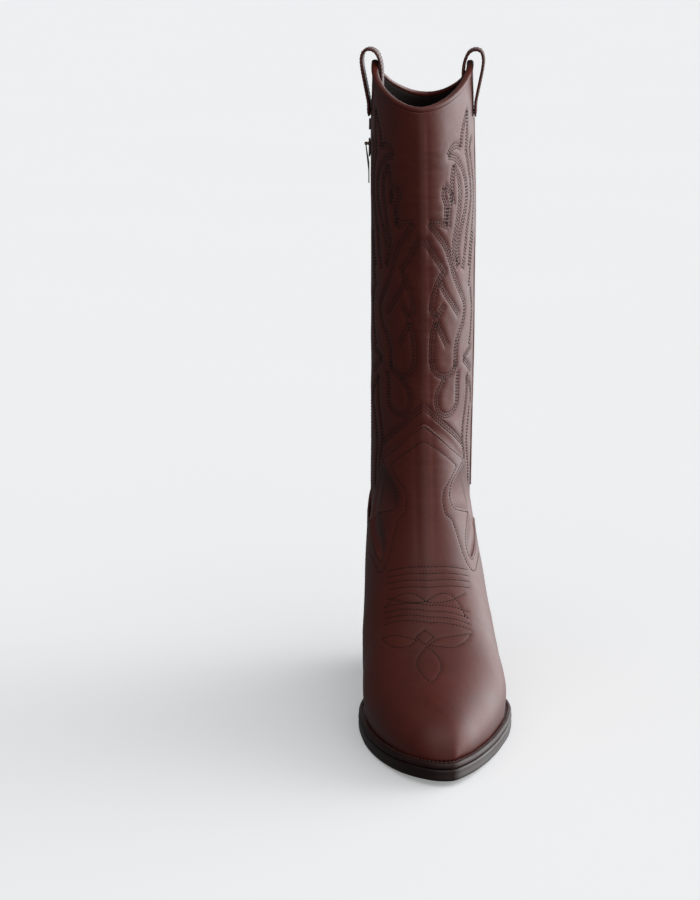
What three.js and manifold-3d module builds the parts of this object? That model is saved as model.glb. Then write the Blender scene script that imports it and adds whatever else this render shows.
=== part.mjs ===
// Tall western boot for the wearer's left foot. Millimetres, +Z up, toe towards -Y,
// lateral (outer) side towards +X. Origin: centre of the footprint, on the ground.
import * as THREE from "three";
import Module from "manifold-3d";
import { mergeVertices } from "three/addons/utils/BufferGeometryUtils.js";

// ---------------------------------------------------------------- driving dimensions
const X_HEEL = -5.5;            // heel and shaft centre line, medial of the footprint centre
const TOE_SWING = 4.7;          // the centre line swings laterally this far at the toe tip
const toeShift = (y) => TOE_SWING * Math.max(0, (-40 - y) / 94) ** 2;
const SHAFT_AXIS_Y = 62.8;      // the shaft turns about this line
const SHAFT_TURN_DEG = -5.2;    // inward turn of the shaft between the two heights below
const TURN_Z0 = 95, TURN_Z1 = 410;
const UPPER_T = 1.2;            // upper leather
const OVERLAY = 1.0;            // vamp and counter lie this far above the shaft leather
const LINING_OUT = -3.0, LINING_T = 0.8;
const COLLAR_DIP = 404, COLLAR_PEAK = 430;
const ZIP_TOP = 384, ZIP_BOTTOM = 130, ZIP_HALF_GAP = 3.4;
const STRAP_W = 22, STRAP_T = 2.0, STRAP_ROOT_Z = 406, STRAP_TOP_Z = 442;

// ---------------------------------------------------------------- the last (outer surface)
// Each row is one section plane, from the toe tip to the collar:
// [ridge y, ridge z, edge y, edge z, half width medial, lateral, feather half width medial,
//  lateral, widest point as a fraction of the depth, ridge exponent, edge exponent]
const STATIONS = [
  [-134.0, 16.0, -134.0, 15.6, 0.0, 0.0, 0.0, 0.0, 0.74, 0.90, 2.0],
  [-133.2, 22.4, -132.8, 15.5, 7.9, 5.9, 7.5, 5.5, 0.74, 0.90, 2.0],
  [-131.0, 28.0, -129.5, 15.2, 13.9, 9.9, 13.1, 9.1, 0.74, 0.90, 2.0],
  [-126.5, 33.4, -124.0, 14.7, 19.4, 14.7, 18.4, 13.7, 0.74, 0.92, 2.0],
  [-118.5, 38.4, -115.0, 14.0, 25.0, 21.2, 23.8, 20.1, 0.74, 0.94, 2.0],
  [-107.0, 43.2, -102.0, 13.15, 30.7, 28.5, 29.4, 27.4, 0.74, 0.96, 2.0],
  [-92.0, 49.0, -86.0, 12.5, 35.7, 36.5, 34.4, 35.4, 0.74, 0.98, 2.0],
  [-75.0, 57.0, -67.0, 12.1, 39.8, 44.1, 38.6, 42.9, 0.74, 1.00, 2.0],
  [-58.0, 66.8, -46.0, 12.0, 42.5, 50.3, 40.8, 49.3, 0.73, 1.02, 2.0],
  [-42.0, 79.0, -22.0, 12.2, 42.8, 50.8, 40.6, 50.4, 0.71, 1.05, 2.0],
  [-28.0, 93.5, 6.0, 15.0, 41.4, 47.6, 35.4, 46.0, 0.67, 1.08, 2.0],
  [-16.0, 110.0, 38.0, 26.0, 39.2, 43.2, 29.2, 38.2, 0.62, 1.10, 2.0],
  [-6.0, 129.0, 72.0, 43.5, 37.4, 39.8, 27.6, 32.4, 0.57, 1.12, 1.9],
  [1.5, 150.0, 103.0, 50.3, 36.2, 37.0, 28.6, 29.6, 0.53, 1.14, 1.5],
  [6.5, 172.0, 122.0, 51.7, 35.0, 35.0, 21.3, 21.8, 0.50, 1.16, 1.05],
  [9.0, 196.0, 134.2, 53.2, 34.65, 34.4, 0.0, 0.0, 0.50, 1.18, 0.74],
  [8.5, 220.0, 136.0, 98.0, 34.55, 34.4, 0.0, 0.0, 0.50, 1.20, 0.82],
  [6.0, 247.0, 129.0, 160.0, 34.6, 34.6, 0.0, 0.0, 0.50, 1.20, 0.96],
  [2.0, 277.0, 127.0, 220.0, 34.75, 35.0, 0.0, 0.0, 0.50, 1.20, 1.08],
  [-2.5, 310.0, 128.5, 275.0, 34.9, 34.8, 0.0, 0.0, 0.50, 1.20, 1.20],
  [-6.5, 345.0, 130.5, 325.0, 34.95, 34.9, 0.0, 0.0, 0.50, 1.20, 1.20],
  [-9.5, 380.0, 132.5, 370.0, 35.1, 34.0, 0.0, 0.0, 0.50, 1.20, 1.20],
  [-11.0, 410.0, 133.8, 407.0, 34.6, 33.2, 0.0, 0.0, 0.50, 1.20, 1.20],
  [-11.5, 436.0, 134.5, 436.0, 34.2, 32.6, 0.0, 0.0, 0.50, 1.20, 1.20],
];

function naturalSpline(y) {
  const n = y.length, m = new Array(n).fill(0), c = new Array(n).fill(0), d = new Array(n).fill(0);
  for (let i = 1; i < n - 1; i++) {
    const r = 6 * (y[i + 1] - 2 * y[i] + y[i - 1]);
    const w = 4 - c[i - 1];
    c[i] = 1 / w; d[i] = (r - d[i - 1]) / w;
  }
  for (let i = n - 2; i > 0; i--) m[i] = d[i] - c[i] * m[i + 1];
  return (u) => {
    const x = Math.min(Math.max(u, 0), n - 1), i = Math.min(Math.floor(x), n - 2), t = x - i, a = 1 - t;
    return a * y[i] + t * y[i + 1] + ((a ** 3 - a) * m[i] + (t ** 3 - t) * m[i + 1]) / 6;
  };
}
const CH = STATIONS[0].map((_, k) => naturalSpline(STATIONS.map((r) => r[k])));

const sectionCache = new Map();
function halfSection(u, sgn) {
  const key = u.toFixed(5) + (sgn > 0 ? "L" : "M");
  if (sectionCache.has(key)) return sectionCache.get(key);
  const [Ty, Tz, Ey, Ez, Wm, Wl, fm, fl, qw, pT, eE] = CH.map((f) => f(u));
  const W = Math.max(0, sgn > 0 ? Wl : Wm), f = u >= 15 ? 0 : Math.max(0, sgn > 0 ? fl : fm), N = 90, pts = [];
  for (let i = 0; i < 2 * N - 1; i++) {
    let x, q;
    if (i < N) { const t = (i / (N - 1)) * Math.PI / 2; x = W * Math.sin(t) ** pT; q = qw * (1 - Math.cos(t)); }
    else { const t = ((i - N + 1) / (N - 1)) * Math.PI / 2; x = f + (W - f) * Math.max(Math.cos(t), 0) ** eE; q = qw + (1 - qw) * Math.sin(t); }
    pts.push([x * sgn, Ty + (Ey - Ty) * q, Tz + (Ez - Tz) * q]);
  }
  const d = [0];
  for (let i = 1; i < pts.length; i++) d.push(d[i - 1] + Math.hypot(pts[i][0] - pts[i - 1][0], pts[i][1] - pts[i - 1][1], pts[i][2] - pts[i - 1][2]));
  const out = { pts, d, L: d[d.length - 1] };
  sectionCache.set(key, out);
  return out;
}
function turned(p) {
  const t = Math.min(Math.max((p[2] - TURN_Z0) / (TURN_Z1 - TURN_Z0), 0), 1.1), a = SHAFT_TURN_DEG * t * Math.PI / 180;
  const x = p[0], y = p[1] - SHAFT_AXIS_Y;
  return new THREE.Vector3(x * Math.cos(a) - y * Math.sin(a) + X_HEEL + toeShift(p[1]), x * Math.sin(a) + y * Math.cos(a) + SHAFT_AXIS_Y, p[2]);
}
// u runs from the toe tip (0) to the collar (23); v runs from the front centre line (0) round to
// the feather edge or the back centre line (+1 lateral, -1 medial), by length along the leather.
function surf(u, v) {
  const h = halfSection(u, v >= 0 ? 1 : -1), s = Math.min(Math.abs(v), 1) * h.L;
  let lo = 0, hi = h.d.length - 1;
  while (hi - lo > 1) { const m = (lo + hi) >> 1; if (h.d[m] <= s) lo = m; else hi = m; }
  const t = h.d[hi] > h.d[lo] ? (s - h.d[lo]) / (h.d[hi] - h.d[lo]) : 0, a = h.pts[lo], b = h.pts[hi];
  return turned([a[0] + (b[0] - a[0]) * t, a[1] + (b[1] - a[1]) * t, a[2] + (b[2] - a[2]) * t]);
}
function normalAt(u, v) {
  const du = 0.04, dv = 0.012;
  const a = surf(Math.min(u + du, 23), v).sub(surf(Math.max(u - du, 0), v));
  let b;
  if (Math.abs(v) > 1 - dv && u > 14.9) b = surf(u, Math.sign(v) * (1 - dv)).sub(surf(u, -Math.sign(v) * (1 - dv))).multiplyScalar(-Math.sign(v));
  else b = surf(u, Math.min(v + dv, 1)).sub(surf(u, Math.max(v - dv, -1)));
  return b.cross(a).normalize();
}
function P(u, v, off) { return surf(u, v).addScaledVector(normalAt(u, v), off); }

// ---------------------------------------------------------------- shared grid of the upper
const SIDE = [[0, .6], [10, .6], [11, .63], [12, .66], [13, .61], [14, .545], [15, .478], [16, .466], [17, .487], [18, .5], [23, .5]];
function sideV(u) {
  for (let i = 1; i < SIDE.length; i++) if (u <= SIDE[i][0]) { const [a, va] = SIDE[i - 1], [b, vb] = SIDE[i]; return va + (vb - va) * (u - a) / (b - a); }
  return .5;
}
const toV = (u, w) => { const s = sideV(u), a = Math.abs(w); return Math.sign(w) * (a <= .5 ? a / .5 * s : s + (a - .5) / .5 * (1 - s)); };
const collarZ = (w) => {
  const a = Math.min(Math.abs(w), 1 - Math.abs(w)) / .5;             // 0 at front/back dip, 1 at the side
  const s = Math.sqrt(a * a + .03) - Math.sqrt(.03), m = Math.sqrt(1.03) - Math.sqrt(.03);
  return COLLAR_DIP + (COLLAR_PEAK - COLLAR_DIP) * s / m;
};
function uAtZ(w, z) {
  let lo = 15, hi = 23;
  for (let i = 0; i < 30; i++) { const m = (lo + hi) / 2; if (surf(m, toV(m, w)).z < z) lo = m; else hi = m; }
  return (lo + hi) / 2;
}
const U = [0.3, 0.9, 1.7, 2.7, 3.8, 5.0, 6.3, 7.6, 8.8, 9.8, 10.6, 11.3, 11.9, 12.5, 13.1, 13.7, 14.3, 14.9, 15.5, 16.2, 17, 18, 19.2, 20.4];
const row = (u) => U.findIndex((x) => Math.abs(x - u) < 1e-6);
const TOP_ROWS = [.5, 1];                                            // remaining rows, up to the collar
const NR = U.length + TOP_ROWS.length;
const WH = [0, .04, .11, .2, .3, .4, .5, .6, .7, .8, .89, .96, 1];
const W = [...WH.slice(1).map((x) => -x).reverse(), ...WH];
const rowU = (i, w, drop = 0) => {
  if (i < U.length) return U[i];
  const a = U[U.length - 1], c = uAtZ(w, collarZ(w) - drop);
  return a + (c - a) * TOP_ROWS[i - U.length];
};

const group = new THREE.Group();
const MAT = {
  leather: () => new THREE.MeshStandardMaterial({ color: 0x5c2f28, roughness: .42, metalness: 0 }),
  trim: () => new THREE.MeshStandardMaterial({ color: 0x52281f, roughness: .5, metalness: 0 }),
  lining: () => new THREE.MeshStandardMaterial({ color: 0x6b5a48, roughness: .95, metalness: 0 }),
  sole: () => new THREE.MeshStandardMaterial({ color: 0x2c1a17, roughness: .5, metalness: 0 }),
  welt: () => new THREE.MeshStandardMaterial({ color: 0x3a221d, roughness: .6, metalness: 0 }),
  rubber: () => new THREE.MeshStandardMaterial({ color: 0x1c1614, roughness: .8, metalness: 0 }),
  board: () => new THREE.MeshStandardMaterial({ color: 0xa98e66, roughness: .9, metalness: 0 }),
  cork: () => new THREE.MeshStandardMaterial({ color: 0xb08450, roughness: .95, metalness: 0 }),
  stiff: () => new THREE.MeshStandardMaterial({ color: 0xcfc4ae, roughness: .9, metalness: 0 }),
  steel: () => new THREE.MeshStandardMaterial({ color: 0x9fa3a6, roughness: .35, metalness: 1 }),
  tape: () => new THREE.MeshStandardMaterial({ color: 0x17110f, roughness: .95, metalness: 0 }),
  metal: () => new THREE.MeshStandardMaterial({ color: 0x3b332c, roughness: .35, metalness: 1 }),
};
function geometry(tris) {
  const g = new THREE.BufferGeometry();
  g.setAttribute("position", new THREE.Float32BufferAttribute(tris.flat(2), 3));
  const m = mergeVertices(g, 1e-4), idx = m.index.array, pos = m.attributes.position, keep = [];
  for (let i = 0; i < idx.length; i += 3) if (idx[i] !== idx[i + 1] && idx[i + 1] !== idx[i + 2] && idx[i] !== idx[i + 2]) keep.push(idx[i], idx[i + 1], idx[i + 2]);
  let vol = 0; const v = (k) => new THREE.Vector3().fromBufferAttribute(pos, k);
  for (let i = 0; i < keep.length; i += 3) vol += v(keep[i]).dot(v(keep[i + 1]).cross(v(keep[i + 2])));
  if (vol < 0) for (let i = 0; i < keep.length; i += 3) [keep[i + 1], keep[i + 2]] = [keep[i + 2], keep[i + 1]];
  m.setIndex(keep); m.computeVertexNormals();
  return m;
}
function add(name, tris, mat) {
  const mesh = new THREE.Mesh(tris.isBufferGeometry ? tris : geometry(tris), MAT[mat]());
  mesh.name = name; group.add(mesh); return mesh;
}
const A3 = (p) => [p.x, p.y, p.z];

// A sheet of leather: cells(i, j) says which grid cells it covers, place(i, j) gives the (u, v) of
// a grid corner, and the two offsets are its outer and inner faces.
function sheet(name, mat, cells, offOut, offIn, opt = {}) {
  const rows = opt.rows ?? [...Array(NR).keys()], cols = opt.cols ?? [...W.keys()];
  const place = opt.place ?? ((i, j) => { const w = opt.w ? opt.w(i, W[j]) : W[j], u = rowU(i, w, opt.drop); return [u, toV(u, w)]; });
  const oo = typeof offOut === "function" ? offOut : () => offOut, oi = typeof offIn === "function" ? offIn : () => offIn;
  const V = new Map(), key = (p) => p.map((c) => c.toFixed(3)).join(), verts = [], id = new Map();
  const corner = (i, j) => {
    const k = i * 1000 + j;
    if (!V.has(k)) {
      const [u, v] = place(i, j), a = A3(P(u, v, oo(u, v))), b = A3(P(u, v, oi(u, v))), kk = key(a);
      if (!id.has(kk)) { id.set(kk, verts.length); verts.push([a, b]); }
      V.set(k, id.get(kk));
    }
    return V.get(k);
  };
  const quads = [], edges = new Map();
  for (let r = 0; r + 1 < rows.length; r++) for (let c = 0; c + 1 < cols.length; c++) {
    const i = rows[r], j = cols[c], i2 = rows[r + 1], j2 = cols[c + 1];
    if (!cells(i, j, i2, j2)) continue;
    const q = [corner(i, j), corner(i, j2), corner(i2, j2), corner(i2, j)];
    quads.push(q);
  }
  const tris = [];
  for (const q of quads) for (const t of [[q[0], q[1], q[2]], [q[0], q[2], q[3]]]) {
    if (new Set(t).size < 3) continue;
    tris.push(t.map((k) => verts[k][0]), [t[0], t[2], t[1]].map((k) => verts[k][1]));
    for (let e = 0; e < 3; e++) { const a = t[e], b = t[(e + 1) % 3]; if (edges.has(b + "_" + a)) edges.delete(b + "_" + a); else edges.set(a + "_" + b, [a, b]); }
  }
  for (const [a, b] of edges.values()) tris.push([verts[a][0], verts[a][1], verts[b][1]], [verts[a][0], verts[b][1], verts[b][0]]);
  return add(name, tris, mat);
}
function inPoly(x, y, poly) {
  let c = false;
  for (let i = 0, j = poly.length - 1; i < poly.length; j = i++) {
    const [xi, yi] = poly[i], [xj, yj] = poly[j];
    if ((yi > y) !== (yj > y) && x < (xj - xi) * (y - yi) / (yj - yi) + xi) c = !c;
  }
  return c;
}
// sheet whose outline is a polygon in (u, v); boundary corners move onto the outline
function cutSheet(name, mat, poly, offOut, offIn, bothSides = false) {
  const fold = (v) => (bothSides ? Math.abs(v) : v);
  const uv = (i, j) => { const u = rowU(i, W[j]); return [u, toV(u, W[j])]; };
  const SC = 7;                                                     // v is weighted against u when snapping
  const on = new Set();
  for (let i = 0; i + 1 < NR; i++) for (let j = 0; j + 1 < W.length; j++) {
    const a = uv(i, j), b = uv(i + 1, j + 1), c = uv(i + 1, j), d = uv(i, j + 1);
    if (inPoly((a[0] + b[0] + c[0] + d[0]) / 4, fold((a[1] + b[1] + c[1] + d[1]) / 4), poly)) on.add(i * 1000 + j);
  }
  // drop cells that touch the rest at one corner only
  const has = (i, j) => on.has(i * 1000 + j);
  for (let pass = 0; pass < 3; pass++) for (const k of [...on]) {
    const i = Math.floor(k / 1000), j = k % 1000;
    if (!has(i - 1, j) && !has(i + 1, j) && !has(i, j - 1) && !has(i, j + 1)) on.delete(k);
    for (const [di, dj] of [[1, 1], [1, -1]]) if (has(i + di, j + dj) && !has(i + di, j) && !has(i, j + dj)) on.add((i + di) * 1000 + j);
  }
  const moved = new Map();
  const rim = (i, j) => { let n = 0; for (const [a, b] of [[-1, -1], [-1, 0], [0, -1], [0, 0]]) if (has(i + a, j + b)) n++; return n > 0 && n < 4; };
  for (let i = 0; i < NR; i++) for (let j = 0; j < W.length; j++) if (rim(i, j)) {
    const [u, v0] = uv(i, j), v = fold(v0), back = bothSides ? Math.sign(v0) : 1;
    if (Math.abs(v) > .995) { if (bothSides && u > 16.5) moved.set(i * 1000 + j, [poly[poly.length - 1][0], v0]); continue; }
    if (i === 0) continue;
    let best = null, bd = .62;
    for (let k = 0; k < poly.length; k++) {
      const [ax, ay] = poly[k], [bx, by] = poly[(k + 1) % poly.length], ex = bx - ax, ey = (by - ay) * SC, l = ex * ex + ey * ey;
      const t = l ? Math.min(1, Math.max(0, ((u - ax) * ex + (v - ay) * SC * ey) / l)) : 0, px = ax + ex * t, py = ay + (by - ay) * t;
      const d = Math.hypot(px - u, (py - v) * SC);
      if (d < bd) { bd = d; best = [px, Math.min(1, py) * back]; }
    }
    if (best) moved.set(i * 1000 + j, best);
  }
  return sheet(name, mat, (i, j) => has(i, j), offOut, offIn, { place: (i, j) => moved.get(i * 1000 + j) ?? uv(i, j) });
}

// ---------------------------------------------------------------- zip line
const vSub = (a, b) => a.clone().sub(b);
function sideFrame(z, sgn) {
  const u = uAtZ(sgn * .5, z), v = toV(u, sgn * .5), nn = normalAt(u, v); nn.z = 0; nn.normalize();
  return { o: surf(u, v), n: nn, b: new THREE.Vector3(-nn.y * sgn, nn.x * sgn, 0) };
}
// the zip runs on one straight line down the medial side
const zTopF = sideFrame(375, -1), zLowF = sideFrame(150, -1);
const ZIP_DIR = vSub(zLowF.o, zTopF.o).normalize();                 // downwards
const ZIP_N = zTopF.n.clone().add(zLowF.n).normalize(); ZIP_N.addScaledVector(ZIP_DIR, -ZIP_N.dot(ZIP_DIR)).normalize();
const ZIP_B = new THREE.Vector3().crossVectors(ZIP_DIR, ZIP_N).normalize();
if (ZIP_B.y > 0) ZIP_B.negate();                                     // towards the toe
const zipAt = (z, a = 0, b = 0) => zTopF.o.clone().addScaledVector(ZIP_DIR, (375 - z) / -ZIP_DIR.z).addScaledVector(ZIP_N, a).addScaledVector(ZIP_B, b);
// v on the medial side where the surface lies b millimetres towards the toe from the zip line
function vAtZip(u, b) {
  let lo = .25, hi = .75;
  const f = (v) => vSub(surf(u, -v), zTopF.o).dot(ZIP_B);
  for (let i = 0; i < 30; i++) { const m = (lo + hi) / 2; if (f(m) > b) lo = m; else hi = m; }
  return -(lo + hi) / 2;
}

// ---------------------------------------------------------------- outer leathers
const mirror = (half) => [...half, ...half.slice().reverse().map(([u, v]) => [u, -v])];
const VAMP = mirror([[0, 0], [0, 1.05], [11.25, 1.05], [11.33, .975], [12.12, .744], [13.75, .50], [13.95, .478], [13.75, .42], [13.4, .375], [12.9, .372],
  [12.2, .335], [11.8, .29], [12.1, .25], [12.7, .262], [13.35, .275], [13.2, .21], [13.0, .15], [13.45, .132], [14.1, .175], [14.9, .24], [15.12, .0]]
  .filter((p, i) => i > 0 || true));
const lift = (u) => Math.min(1, Math.max(0, (u - 9.5) / 1.3)) * (UPPER_T + OVERLAY);
cutSheet("vamp", "leather", VAMP, (u) => lift(u), (u) => lift(u) - UPPER_T);
// heel counter: two wings joined round the back; the outline is for v > 0 and both sides use it
const COUNTER = [[11.28, 1.05], [11.37, .987], [12.15, .759], [13.78, .515], [13.98, .494], [14.4, .497], [15.03, .525], [15.5, .59], [15.9, .663], [16.3, .78], [16.75, .89], [17.0, .97], [17.0, 1.05]];
// its edges are skived thin where it wraps the heel
cutSheet("heel_counter", "leather", COUNTER, UPPER_T + OVERLAY, (u, v) => OVERLAY + (Math.abs(v) > .7 ? .6 : 0), true);
// shaft leathers: front and back, open on the medial side along the zip
const jSideM = W.indexOf(-.5), jSideL = W.indexOf(.5), jMid = W.indexOf(0);
const halfGap = (u, w) => .35 / (halfSection(u, w < 0 ? -1 : 1).L);
const sidePlace = (side, drop = 0, gap = halfGap) => (i, j) => {
  const w = W[j], u = rowU(i, w, drop); let v = toV(u, w);
  if (j === jSideM && gap === halfGap && i < NR - 1) v = u < 14 ? v - side * .002 : vAtZip(u, side < 0 ? ZIP_HALF_GAP : -ZIP_HALF_GAP);
  else if (j === jSideM) v -= side * .0035;
  else if (j === jSideL) v += side * gap(u, w);
  return [u, v];
};
const frontCols = (j, j2) => j >= jSideM && j2 <= jSideL;
sheet("shaft_front", "leather", (i, j, i2, j2) => i >= row(11.3) && frontCols(j, j2), (u) => (u > 15.2 ? 0 : -.5), (u) => (u > 15.2 ? 0 : -.5) - UPPER_T, { place: sidePlace(-1, .4) });
sheet("shaft_back", "leather", (i, j, i2, j2) => i >= row(13.1) && !frontCols(j, j2), (u) => (u > 17.1 ? 0 : -.4), (u) => (u > 17.1 ? 0 : -.4) - UPPER_T, { place: sidePlace(1, .4) });

// ---------------------------------------------------------------- stiffeners and linings
sheet("toe_puff", "stiff", (i) => i < row(5), -1.65, -2.5);
sheet("counter_stiffener", "stiff", (i, j, i2, j2) => {
  const wj = (W[j] + W[j2]) / 2, ui = (rowU(i, wj) + rowU(i2, wj)) / 2, v = Math.abs(toV(ui, wj));
  return i >= row(11.9) && i < row(16.2) && v > 1 - .055 * Math.max(0, ui - 9.6);
}, -1.65, -2.6);
const LI = (side) => ({ place: sidePlace(side, 1.0, () => .0035) });
sheet("vamp_lining", "lining", (i) => i < row(11.3), LINING_OUT, LINING_OUT - LINING_T, { place: (i, j) => { const u = U[i] - (i === row(11.3) ? .05 : 0); return [u, toV(u, W[j])]; } });
sheet("shaft_lining_front", "lining", (i, j, i2, j2) => i >= row(11.3) && frontCols(j, j2), LINING_OUT, LINING_OUT - LINING_T, LI(-1));
sheet("shaft_lining_back", "lining", (i, j, i2, j2) => i >= row(11.3) && !frontCols(j, j2), LINING_OUT, LINING_OUT - LINING_T, LI(1));

// ---------------------------------------------------------------- sole unit
// stations along the foot: y, outline half widths (medial, lateral), outsole bottom, outsole
// thickness, height of the feather edge above the outsole
const SOLE = [
  [-139, 0.6, 0.6, 8.0, 7.6, 4.4], [-138.3, 5.6, 4.8, 7.9, 7.6, 4.4], [-136, 10.6, 8.2, 7.5, 7.6, 4.4], [-132, 15.8, 12.0, 6.8, 7.6, 4.4],
  [-126, 21, 16.6, 5.6, 7.6, 4.4], [-118, 26.1, 22.1, 4.1, 7.6, 4.4], [-108, 30.8, 28.0, 2.5, 7.6, 4.4], [-95, 35.6, 34.9, 1.1, 7.6, 4.4],
  [-80, 39.7, 41.8, .3, 7.6, 4.4], [-65, 42.7, 47.4, 0, 7.6, 4.4], [-50, 44.4, 52.3, 0, 7.6, 4.4], [-35, 45.6, 55.3, 0, 7.6, 4.4],
  [-20, 45.4, 56.8, 0, 7.6, 4.4], [-5, 42.6, 54.4, 1.4, 7.3, 4.2], [10, 38, 49.8, 4.9, 6.9, 4.1], [25, 33.6, 44.6, 11.2, 6.0, 3.8],
  [40, 30.8, 40, 18.2, 5.2, 5.0], [55, 29.8, 36.6, 26.4, 5.2, 5.0], [68, 29.8, 34.8, 33.1, 5.2, 5.0], [80, 30.6, 33.6, 37.4, 5.2, 5.0],
  [92, 31.2, 32.8, 40.1, 5.2, 5.0], [104, 30.8, 31.8, 41.6, 5.2, 5.0], [115, 28.4, 29, 42.5, 5.2, 5.0], [124, 24, 24.4, 43, 5.2, 5.0],
  [131, 18.2, 18.5, 43.2, 5.2, 5.0], [136, 11, 11.2, 43.4, 5.2, 5.0], [138.3, 5.8, 5.9, 43.5, 5.2, 5.0], [139, 0.8, 0.8, 43.5, 5.2, 5.0],
];
const lin = (col) => (y) => {
  if (y <= SOLE[0][0]) return SOLE[0][col];
  for (let i = 1; i < SOLE.length; i++) if (y <= SOLE[i][0]) { const a = SOLE[i - 1], b = SOLE[i]; return a[col] + (b[col] - a[col]) * (y - a[0]) / (b[0] - a[0]); }
  return SOLE[SOLE.length - 1][col];
};
// the feather edge's height comes from the last, so welt and sole follow it
{
  const prof = []; for (let u = 0; u <= 15; u += .05) prof.push([CH[2](u), CH[3](u)]);
  const zAt = (y) => { for (let i = 1; i < prof.length; i++) if (y <= prof[i][0] && y >= prof[i - 1][0]) { const [a, za] = prof[i - 1], [b, zb] = prof[i]; return za + (zb - za) * (y - a) / (b - a || 1); } return y < 0 ? CH[3](0) : 53.2; };
  for (const r of SOLE) { const z = zAt(r[0]); if (r[0] > -70 && r[0] < -15) { r[3] = 0; r[5] = Math.min(z, 12.05) - r[4]; } else r[3] = Math.max(0, z - r[5] - r[4]); }
}
const zBottom = lin(3), soleT = lin(4), featherUp = lin(5);
const zOut = (y) => zBottom(y) + soleT(y), zFeather = (y) => zOut(y) + featherUp(y);
// outline as a closed loop, offset inwards by d
const loop0 = [...SOLE.map((r) => [X_HEEL + toeShift(r[0]) + r[2], r[0]]), ...SOLE.slice().reverse().map((r) => [X_HEEL + toeShift(r[0]) - r[1], r[0]])];
function inset(d) {
  const n = loop0.length, out = [];
  for (let i = 0; i < n; i++) {
    let a = i - 1, b = i + 1;
    const p = loop0[i], q = loop0[(a + n) % n], r = loop0[b % n];
    const e1 = [p[0] - q[0], p[1] - q[1]], e2 = [r[0] - p[0], r[1] - p[1]], l1 = Math.hypot(...e1), l2 = Math.hypot(...e2);
    const nx = -(e1[1] / l1 + e2[1] / l2), ny = (e1[0] / l1 + e2[0] / l2), l = Math.hypot(nx, ny) || 1;
    out.push([p[0] + nx / l * d, p[1] + ny / l * d]);
  }
  return out;
}
// half widths of an inset outline at any y, read from its own loop
function widthAt(loop, y) {
  let lo = 1e9, hi = -1e9;
  for (let i = 0; i < loop.length; i++) {
    const a = loop[i], b = loop[(i + 1) % loop.length];
    if ((a[1] - y) * (b[1] - y) <= 0 && a[1] !== b[1]) { const x = a[0] + (b[0] - a[0]) * (y - a[1]) / (b[1] - a[1]); lo = Math.min(lo, x); hi = Math.max(hi, x); }
  }
  return [lo, hi];
}
// a plate that follows the sole profile between two y values
function plate(d, y0, y1, zLow, zHigh, clip) {
  const L = inset(d), ysL = L.map((p) => p[1]), lo = Math.max(y0, Math.min(...ysL) + .25), hi = Math.min(y1, Math.max(...ysL) - .25);
  const ys = [lo, ...SOLE.map((r) => r[0]).filter((y) => y > lo + .4 && y < hi - .4), hi];
  for (const e of [lo, hi]) if (e !== y0 && e !== y1) for (const k of [.9, 3]) { const y = e === lo ? lo + k : hi - k; if (!ys.some((t) => Math.abs(t - y) < .6)) ys.push(y); }
  ys.sort((a, b) => a - b);
  const R = ys.map((y) => { let [a, b] = widthAt(L, y); if (clip) { a = Math.max(a, clip[0]); b = Math.min(b, clip[1]); } return [[a, y, zLow(y)], [b, y, zLow(y)], [b, y, zHigh(y)], [a, y, zHigh(y)]]; });
  const t = [];
  const quad = (a, b, c, e) => t.push([a, b, c], [a, c, e]);
  for (let i = 0; i + 1 < R.length; i++) for (let k = 0; k < 4; k++) quad(R[i][k], R[i + 1][k], R[i + 1][(k + 1) % 4], R[i][(k + 1) % 4]);
  quad(R[0][0], R[0][1], R[0][2], R[0][3]);
  const e = R[R.length - 1]; quad(e[3], e[2], e[1], e[0]);
  return geometry(t);
}
// a strip that follows the edge of the sole: part of the loop from index a to b
function edgeStrip(name, mat, idx, dOut, dIn, zLow, zHigh) {
  const O = inset(dOut), I = inset(dIn), t = [];
  const R = idx.map((k) => { const o = O[k], n = I[k]; return [[...o, zLow(o[1])], [...n, zLow(n[1])], [...n, zHigh(n[1])], [...o, zHigh(o[1])]]; });
  const quad = (a, b, c, e) => t.push([a, b, c], [a, c, e]);
  for (let i = 0; i + 1 < R.length; i++) for (let k = 0; k < 4; k++) quad(R[i][k], R[i + 1][k], R[i + 1][(k + 1) % 4], R[i][(k + 1) % 4]);
  quad(R[0][0], R[0][1], R[0][2], R[0][3]);
  const e = R[R.length - 1]; quad(e[3], e[2], e[1], e[0]);
  return add(name, t, mat);
}
const wasm = await Module(); wasm.setup();
function toManifold(g) {
  const m = g.clone(); for (const k of Object.keys(m.attributes)) if (k !== "position") m.deleteAttribute(k);
  const w = mergeVertices(m, 1e-4);
  return new wasm.Manifold(new wasm.Mesh({ numProp: 3, vertProperties: new Float32Array(w.attributes.position.array), triVerts: new Uint32Array(w.index.array) }));
}
function fromManifold(m) {
  const r = m.getMesh(), g = new THREE.BufferGeometry();
  g.setAttribute("position", new THREE.BufferAttribute(new Float32Array(r.vertProperties), 3));
  g.setIndex([...r.triVerts]); g.computeVertexNormals();
  return g;
}
const NAILS = [[-18, 96], [18, 96], [-15, 118], [15, 118]].map(([x, y]) => [x + X_HEEL, y]);
const NAIL_R = 1.3, NAIL_LOW = 29.5;
const nailHigh = (y) => zFeather(y) - .3;
function drill(g) {
  let m = toManifold(g);
  for (const [x, y] of NAILS) {
    const c = new THREE.CylinderGeometry(NAIL_R + .35, NAIL_R + .35, 40, 8); c.rotateX(Math.PI / 2); c.translate(x, y, NAIL_LOW - .3 + 20);
    m = m.subtract(toManifold(c));
  }
  return fromManifold(m);
}
add("outsole", drill(plate(0, -200, 200, zBottom, zOut)), "sole");
const n = SOLE.length, iBreak = SOLE.findIndex((r) => r[0] === 40), M = (k) => 2 * n - 1 - k;
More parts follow.
